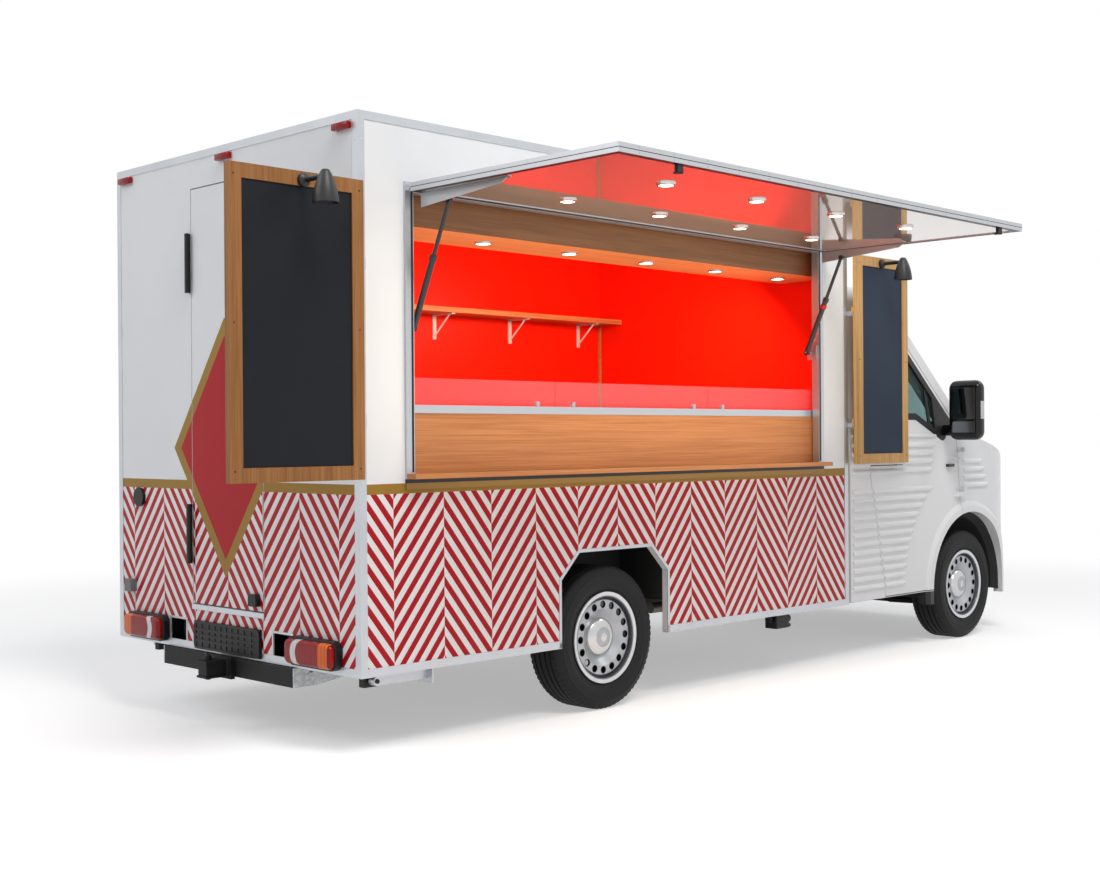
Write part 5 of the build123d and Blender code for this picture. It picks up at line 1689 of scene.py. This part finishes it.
liner_felt = worn((14, 14, 15), (30, 30, 31), 160.0, 3.0, 0.7, 0.2, (0.2,))
liner_black = material("liner_black", liner_felt)
for side_name, side in both_sides:
    loop = [*liner_profile, *[(y, radius + liner_wall) for y, radius in reversed(liner_profile)]]
    rings = []
    for step in range(liner_steps + 1):
        angle = math.radians(liner_start + liner_sweep * step / liner_steps)
        reach, rise = math.cos(angle), math.sin(angle)
        rings.append([(wheel_x + r * reach, side * y, axle_z + r * rise) for y, r in loop])
    mesh = stacked("wheel_liner_" + side_name, rings)
    piece("wheel_liner_" + side_name, mesh, "vehicle", liner_black, (), 40)

# Cab glass: a laminated windscreen and flat door panes, each in a black rubber gasket.
# A slim post divides the quarter light from the door window.
belt_z = 1.300
roof_half = 0.872
roof_z = 2.255
lean = Vector((0.0, cab_half - roof_half, roof_z - belt_z)).normalized()
gasket_lap = 0.030
gasket_bite = 0.010
gasket_top = 0.0025
gasket_deep = 0.0165
# Door window on the side view: x, z
door_window = (
    (0.965, 1.451),
    (1.100, 1.451),
    (1.395, 1.318),
    (1.490, 1.400),
    (1.010, 1.868),
    (0.965, 1.868),
)
door_window_radius = 0.018
screen_head = Vector((0.824, 0.0, 2.235))
screen_base = Vector((1.750, 0.0, 1.330))
screen_low_half = 0.800
screen_high_half = 0.735
screen_radius = 0.070
screen_foot = 0.110
screen_brow = 0.130
sail_outline = ((1.315, 1.354), (1.395, 1.318), (1.490, 1.400), (1.315, 1.571))
quarter_post = ((1.262, 1.300), (1.290, 1.300), (1.262, 1.700), (1.236, 1.700))

glass_smear = worn((176, 196, 194), (160, 182, 182), 4.0, 5.0, 0.01, 0.03)
cab_glass = material("cab_glass", glass_smear, transmission_weight=1.0, ior=1.15)
dress(cab_glass, "windscreen", "cab_door_glass_left", "cab_door_glass_right")
forward_axis = Vector((1.0, 0.0, 0.0))
for side_name, side in both_sides:
    outward = Vector((0.0, side * lean.z, lean.y))
    upward = Vector((0.0, -side * lean.y, lean.z))
    belt = Vector((0.0, side * cab_half, belt_z))
    body = "cab_door_" + side_name

    def on_side(u, v, w):
        return belt + forward_axis * u + upward * v + outward * w

    outline = [(x, (z - belt_z) / lean.z) for x, z in door_window]
    ring_frame(
        "door_gasket_" + side_name,
        outline,
        door_window_radius,
        gasket_lap,
        gasket_bite,
        (-gasket_deep, gasket_top),
        on_side,
        body,
        seal_rubber,
    )
    for name, shape, depth in (
        ("quarter_post_", quarter_post, (-gasket_deep + 0.0005, -gasket_deep + 0.010)),
        ("mirror_sail_", sail_outline, (-gasket_deep + 0.0005, gasket_top - 0.0005)),
    ):
        outline = [(x, (z - belt_z) / lean.z) for x, z in shape]
        mesh = prism(name + side_name, outline, on_side, depth)
        piece(name + side_name, mesh, body, seal_rubber)

screen_run = (screen_head - screen_base).length
screen_up = (screen_head - screen_base).normalized()
screen_out = Vector((screen_up.z, 0.0, -screen_up.x))
screen_outline = [
    (-screen_low_half, -screen_run / 2 + screen_foot),
    (screen_low_half, -screen_run / 2 + screen_foot),
    (screen_high_half, screen_run / 2 - screen_brow),
    (-screen_high_half, screen_run / 2 - screen_brow),
]
screen_middle = (screen_head + screen_base) / 2
ring_frame(
    "windscreen_gasket",
    screen_outline,
    screen_radius,
    gasket_lap,
    gasket_bite,
    (-gasket_deep, gasket_top),
    lambda u, v, w: screen_middle + Vector((0.0, u, 0.0)) + screen_up * v + screen_out * w,
    "vehicle",
    seal_rubber,
)

# Door mirrors: gloss black housings, flat at the back and rounded ahead, on stout arms.
# Each holds a tall and a low silvered pane, and a clear indicator on its outer side.
mirror_x = 1.395
mirror_z = 1.480
mirror_half = 0.187
mirror_round = 0.052
mirror_side = cab_half
mirror_back = -0.060
# Housing seen from above: ahead of its middle, out from the cab side, corner radius
mirror_plan = (
    (-0.060, 0.070, 0.030),
    (-0.060, 0.290, 0.030),
    (0.020, 0.290, 0.045),
    (0.060, 0.200, 0.055),
    (0.060, 0.130, 0.040),
    (0.020, 0.070, 0.036),
)
mirror_arm = (-0.010, 0.058, -0.002, 0.100, -0.160, -0.090)
pane_levels = ((-0.140, -0.070), (-0.056, 0.140))
pane_span = (0.104, 0.256)
indicator_x = (-0.040, 0.014)
indicator_z = (-0.055, 0.055)
indicator_from = 0.281
round_steps = 6
rounding = [math.pi / 2 * (k / round_steps - 1) for k in range(round_steps + 1)]
mirror_levels = [(angle, -1) for angle in rounding] + [(-angle, 1) for angle in reversed(rounding)]


def housing_recipe(wire):
    place, x, y, z = position(wire)
    haze = noise(wire, place, 12.0)
    black = mixed(wire, haze, colour(8, 8, 9), colour(16, 16, 17))
    clear = mixed(wire, haze, colour(214, 214, 216), colour(194, 195, 198))
    lens = (
        (wire.math("ABSOLUTE", y) > mirror_side + indicator_from)
        * between(wire, x, mirror_x + indicator_x[0], mirror_x + indicator_x[1])
        * between(wire, z, mirror_z + indicator_z[0], mirror_z + indicator_z[1])
    )
    return {
        "Base Color": mixed(wire, lens, black, clear),
        "Roughness": 0.05 + haze * 0.04,
    }


mirror_black = material("mirror_housing", housing_recipe, specular_ior_level=0.35)
pane_silver = worn((120, 124, 128), (104, 108, 113), 30.0, 3.0, 0.03, 0.03)
silvered = material("silvered_glass", pane_silver, metallic=1.0)
for side_name, side in both_sides:
    plan = [(ahead, out) for ahead, out, radius in mirror_plan]
    rings = []
    for angle, end in mirror_levels:
        inset = mirror_round * (1 - math.cos(angle))
        rise = end * (mirror_half - mirror_round) + mirror_round * math.sin(angle)
        radii = [max(radius - inset, 0.004) for ahead, out, radius in mirror_plan]
        rings.append(
            [
                (mirror_x + point.x, side * (mirror_side + point.y), mirror_z + rise)
                for point in rounded(grown(plan, -inset), radii)
            ]
        )
    mesh = stacked("mirror_shell_" + side_name, rings)
    body = "cab_door_" + side_name
    solid = "mirror_" + side_name
    piece("mirror_shell_" + side_name, mesh, body, mirror_black, [solid], 35)
    arm_y = sorted((side * (mirror_side + mirror_arm[2]), side * (mirror_side + mirror_arm[3])))
    arm = (
        mirror_x + mirror_arm[0],
        mirror_x + mirror_arm[1],
        *arm_y,
        mirror_z + mirror_arm[4],
        mirror_z + mirror_arm[5],
    )
    mesh = bars("mirror_arm_" + side_name, [arm], 0.012)
    piece("mirror_arm_" + side_name, mesh, body, mirror_black, (), 35)
    pane_y = sorted((side * (mirror_side + pane_span[0]), side * (mirror_side + pane_span[1])))
    panes = [
        (
            mirror_x + mirror_back - 0.0015,
            mirror_x + mirror_back + 0.003,
            *pane_y,
            mirror_z + pane_low,
            mirror_z + pane_high,
        )
        for pane_low, pane_high in pane_levels
    ]
    mesh = bars("mirror_panes_" + side_name, panes, 0.001)
    piece("mirror_panes_" + side_name, mesh, body, silvered)

# Headlamps: white painted pods with a crowned, fluted lens set in a narrow bezel.
# The photograph doesn't show them; they are finished from type.
pod_y = 0.690
pod_z = 1.075
pod_radius = 0.096
pod_rear = 2.160
pod_front = 2.440
lens_radius = 0.0685
# Pod from its back to the lens: place along the vehicle, radius
pod_section = (
    (pod_rear, 0.0),
    (pod_rear, pod_radius),
    (pod_front - 0.080, pod_radius),
    (pod_front - 0.060, pod_radius - 0.0015),
    (pod_front - 0.040, pod_radius - 0.006),
    (pod_front - 0.022, pod_radius - 0.013),
    (pod_front - 0.010, pod_radius - 0.021),
    (pod_front - 0.010, pod_radius - 0.0275),
    (pod_front - 0.018, pod_radius - 0.028),
    (pod_front - 0.011, pod_radius - 0.042),
    (pod_front - 0.005, pod_radius - 0.060),
    (pod_front - 0.001, pod_radius - 0.080),
    (pod_front, 0.0),
)


def pod_recipe(wire):
    place, x, y, z = position(wire)
    sheen = noise(wire, place, 5.0)
    out = wire.math("ABSOLUTE", y) - pod_y
    rise = z - pod_z
    radius = wire.math("SQRT", out * out + rise * rise)
    flutes = wire.math("PINGPONG", y * 120.0, 1.0)
    white = mixed(wire, sheen, colour(242, 243, 245), colour(234, 236, 239))
    glass = mixed(wire, flutes, colour(150, 156, 162), colour(196, 201, 206))
    lens = (radius < lens_radius) * (x > pod_front - 0.03)
    return {
        "Base Color": mixed(wire, lens, white, glass),
        "Roughness": 0.16 + sheen * 0.06,
        "Metallic": lens * 0.6,
        "Normal": bump(wire, flutes * lens, 0.2, 0.0008),
    }


pod_white = material("headlamp_pod", pod_recipe)
for side_name, side in both_sides:
    mesh = turned("headlamp_" + side_name, pod_section, 64, (0.0, side * pod_y, pod_z), (1, 0, 0))
    piece("headlamp_" + side_name, mesh, "vehicle", pod_white, ["headlamps"], 40)

# Grille and dashboard: grained black mouldings.
# The photograph shows little of them; both keep the forms of their solids.
dress(moulded_black, "grille", "dashboard")

# Seats: a driver's seat and a double bench, foam under woven grey cloth on black plinths.
# Each cushion is crowned and pulled in at two sewn channels.
seat_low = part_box("seats")[0]
seat_rear = seat_low.x + 0.050
seat_places = (("driver", 0.450, 0.250), ("bench", -0.330, 0.430))
cushion_low = 0.760
cushion_high = 0.880
cushion_length = 0.486
cushion_thick = 0.118
back_tall = 0.546
seam_places = (-0.38, 0.38)
seam_width = 0.05
plinth_inset = 0.040
plinth_foot = seat_low.z
back_foot = 0.872
back_head = 1.418
back_lean = 0.162
back_thick = 0.105


def cushion(name, centre, size, tilt, body, finish):
    """A padded block: crowned faces, rounded edges and two sewn channels along it."""
    work = bmesh.new()
    bmesh.ops.create_cube(work, size=2.0)
    bmesh.ops.subdivide_edges(work, edges=work.edges, cuts=23, use_grid_fill=True)
    turn = Matrix.Rotation(tilt, 3, "Y")
    for vertex in work.verts:
        u, v, w = vertex.co
        longest = max(abs(u), abs(v), abs(w))
        soft = (abs(u) ** 6 + abs(v) ** 6 + abs(w) ** 6) ** (1 / 6)
        u, v, w = Vector((u, v, w)) * (longest / soft)
        crown = (1 - u * u) * (1 - v * v)
        pull = sum(math.exp(-(((v - seam) / seam_width) ** 2)) for seam in seam_places)
        w *= 0.86 + 0.14 * crown - 0.10 * pull * (1 - u * u)
        place = Vector((u * size[0] / 2, v * size[1] / 2, w * size[2] / 2))
        vertex.co = Vector(centre) + turn @ place
    bmesh.ops.recalc_face_normals(work, faces=work.faces)
    mesh = bpy.data.meshes.new(name)
    work.to_mesh(mesh)
    work.free()
    made = piece(name, mesh, body, finish, (), 60)
    return made


def cloth_recipe(wire):
    place, x, y, z = position(wire)
    warp = wire.math("SINE", y * 2400.0)
    weft = wire.math("SINE", (x + z) * 2400.0)
    weave = warp * weft * 0.5 + 0.5
    fleck = noise(wire, place, 60.0)
    return {
        "Base Color": mixed(
            wire, fleck * 0.6 + weave * 0.3, colour(46, 48, 52), colour(86, 88, 92)
        ),
        "Roughness": 0.8 + weave * 0.1,
        "Normal": bump(wire, weave, 0.2, 0.0004),
    }


seat_cloth = material("seat_cloth", cloth_recipe)
plinths = []
for seat, y, half in seat_places:
    middle = (seat_rear + 0.245, y, (cushion_low + cushion_high) / 2)
    size = (cushion_length, 2 * half - 0.006, cushion_thick)
    cushion("seat_cushion_" + seat, middle, size, 0.0, "vehicle", seat_cloth)
    middle = (seat_rear + 0.035, y, (back_foot + back_head) / 2)
    size = (back_thick, 2 * half - 0.010, back_tall)
    cushion("seat_back_" + seat, middle, size, -back_lean, "vehicle", seat_cloth)
    x_limits = (seat_rear + 0.020, seat_rear + 0.460)
    y_limits = (y - half + plinth_inset, y + half - plinth_inset)
    plinths.append((*x_limits, *y_limits, plinth_foot, cushion_low + 0.020))
mesh = bars("seat_plinths", plinths, 0.012)
piece("seat_plinths", mesh, "vehicle", moulded_black, ["seats"])

# Studio: a pale floor and a white surround, one large soft lamp above and two softer ones.
# Three warm lamps stand in for the light of the downlights and of the awning's pucks.
floor_white_from = 4.2
floor_white_to = 8.5
ground = bpy.data.meshes.new("studio_floor")
ground.from_pydata([(-60, -60, 0), (60, -60, 0), (60, 60, 0), (-60, 60, 0)], [], [(0, 1, 2, 3)])
studio_floor = bpy.data.objects.new("studio_floor", ground)
bpy.context.scene.collection.objects.link(studio_floor)
studio_floor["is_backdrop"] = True


def seen_directly(wire):
    """1 for rays from the camera, off a gloss or through glass."""
    camera_ray = wire.add("LightPath", out="Is Camera Ray")
    gloss_ray = wire.add("LightPath", out="Is Glossy Ray")
    glass_ray = wire.add("LightPath", out="Is Transmission Ray")
    return wire.math("MAXIMUM", camera_ray, wire.math("MAXIMUM", gloss_ray, glass_ray))


paper = bpy.data.materials.new("studio_paper")
paper.use_nodes = True
paper.node_tree.nodes.clear()
wire = Wire(paper.node_tree)
place, x, y, z = position(wire)
distance = wire.math("SQRT", x * x + y * y)
far = wire.add(
    "MapRange",
    {"interpolation_type": "SMOOTHSTEP"},
    {"Value": distance, "From Min": floor_white_from, "From Max": floor_white_to},
)
fibre = noise(wire, place, 40.0)
matt = wire.add(
    "BsdfDiffuse",
    None,
    {"Color": mixed(wire, fibre, (0.85, 0.85, 0.86, 1.0), (0.83, 0.83, 0.84, 1.0))},
)
lift = wire.add("Emission", None, {"Color": (1.0, 1.0, 1.0, 1.0), "Strength": 0.42})
near = wire.add("AddShader", None, {0: matt, 1: lift})
white = wire.add("Emission", None, {"Color": (1.0, 1.0, 1.0, 1.0), "Strength": 1.0})
shown = wire.add("MixShader", None, {0: far, 1: near, 2: white})
surface = wire.add("MixShader", None, {0: seen_directly(wire), 1: matt, 2: shown})
wire.add("OutputMaterial", None, {"Surface": surface})
ground.materials.append(paper)

world = bpy.data.worlds.new("studio_surround")
bpy.context.scene.world = world
world.use_nodes = True
world.node_tree.nodes.clear()
wire = Wire(world.node_tree)
white = wire.add("Background", None, {"Color": (1.0, 1.0, 1.0, 1.0), "Strength": 1.0})
soft = wire.add("Background", None, {"Color": (0.96, 0.98, 1.0, 1.0), "Strength": 0.3})
surface = wire.add("MixShader", None, {0: seen_directly(wire), 1: soft, 2: white})
wire.add("OutputWorld", None, {"Surface": surface})


def area_lamp(name, place, target, size, watts, tint):
    """A soft lamp of size (width, height) turned to a target; the camera doesn't see it."""
    data = bpy.data.lights.new(name, "AREA")
    data.shape = "RECTANGLE"
    data.energy = watts
    data.size, data.size_y = size
    data.color = tint
    lamp = bpy.data.objects.new(name, data)
    lamp.location = place
    lamp.rotation_euler = (Vector(target) - Vector(place)).to_track_quat("-Z", "Y").to_euler()
    lamp.visible_camera = False
    bpy.context.scene.collection.objects.link(lamp)
    return lamp


warm = (1.0, 0.86, 0.68)
window_middle = (window_rear + window_front) / 2
area_lamp("key_lamp", (-4.0, -6.5, 9.5), (-0.5, 0.0, 1.2), (4.0, 4.0), 610.0, (1.0, 0.98, 0.95))
area_lamp("rear_lamp", (-9.0, 2.0, 6.5), (-2.0, 0.0, 1.2), (4.0, 4.0), 170.0, (0.95, 0.97, 1.0))
area_lamp("front_lamp", (6.0, -5.0, 8.0), (1.0, 0.0, 1.0), (3.0, 3.0), 115.0, (1.0, 1.0, 1.0))
galley_lamp = area_lamp(
    "galley_lamp", (window_middle, -0.45, 2.225), (window_middle, 0.5, 1.2), (3.0, 0.3), 42.0, warm
)
counter_lamp = area_lamp(
    "counter_lamp", (window_middle, -1.55, 2.325), (window_middle, -1.1, 1.2), (2.6, 0.5), 12.0, warm
)
soffit_bounce = area_lamp(
    "soffit_bounce", (window_middle, -1.60, 1.35), (window_middle, -0.95, 2.30), (2.8, 0.6), 13.0, warm
)
for lamp in (galley_lamp, counter_lamp, soffit_bounce):
    lamp.visible_glossy = False

# Camera: stands behind the right rear corner at chest height, as the photograph was taken.
# Its place, turn and focal length were fitted to the edges of the box.
camera_place = Vector((-6.974, -5.795, 1.326))
camera_yaw = math.radians(44.889)
camera_pitch = math.radians(-0.0926)
camera_roll = math.radians(-0.404)
picture_width = 1100
focal_pixels = 1465.17
forward = Vector(
    (
        math.cos(camera_pitch) * math.cos(camera_yaw),
        math.cos(camera_pitch) * math.sin(camera_yaw),
        math.sin(camera_pitch),
    )
)
level_right = Vector((math.sin(camera_yaw), -math.cos(camera_yaw), 0.0))
level_up = level_right.cross(forward)
right = level_right * math.cos(camera_roll) + level_up * math.sin(camera_roll)
up = level_up * math.cos(camera_roll) - level_right * math.sin(camera_roll)
lens = bpy.data.cameras.new("camera")
lens.sensor_fit = "HORIZONTAL"
lens.sensor_width = 36.0
lens.lens = lens.sensor_width * focal_pixels / picture_width
camera = bpy.data.objects.new("camera", lens)
camera_turn = Matrix((right, up, -forward)).transposed().to_4x4()
camera.matrix_world = Matrix.Translation(camera_place) @ camera_turn
bpy.context.scene.collection.objects.link(camera)
bpy.context.scene.camera = camera
bpy.context.scene.view_settings.view_transform = "Standard"

low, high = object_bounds()
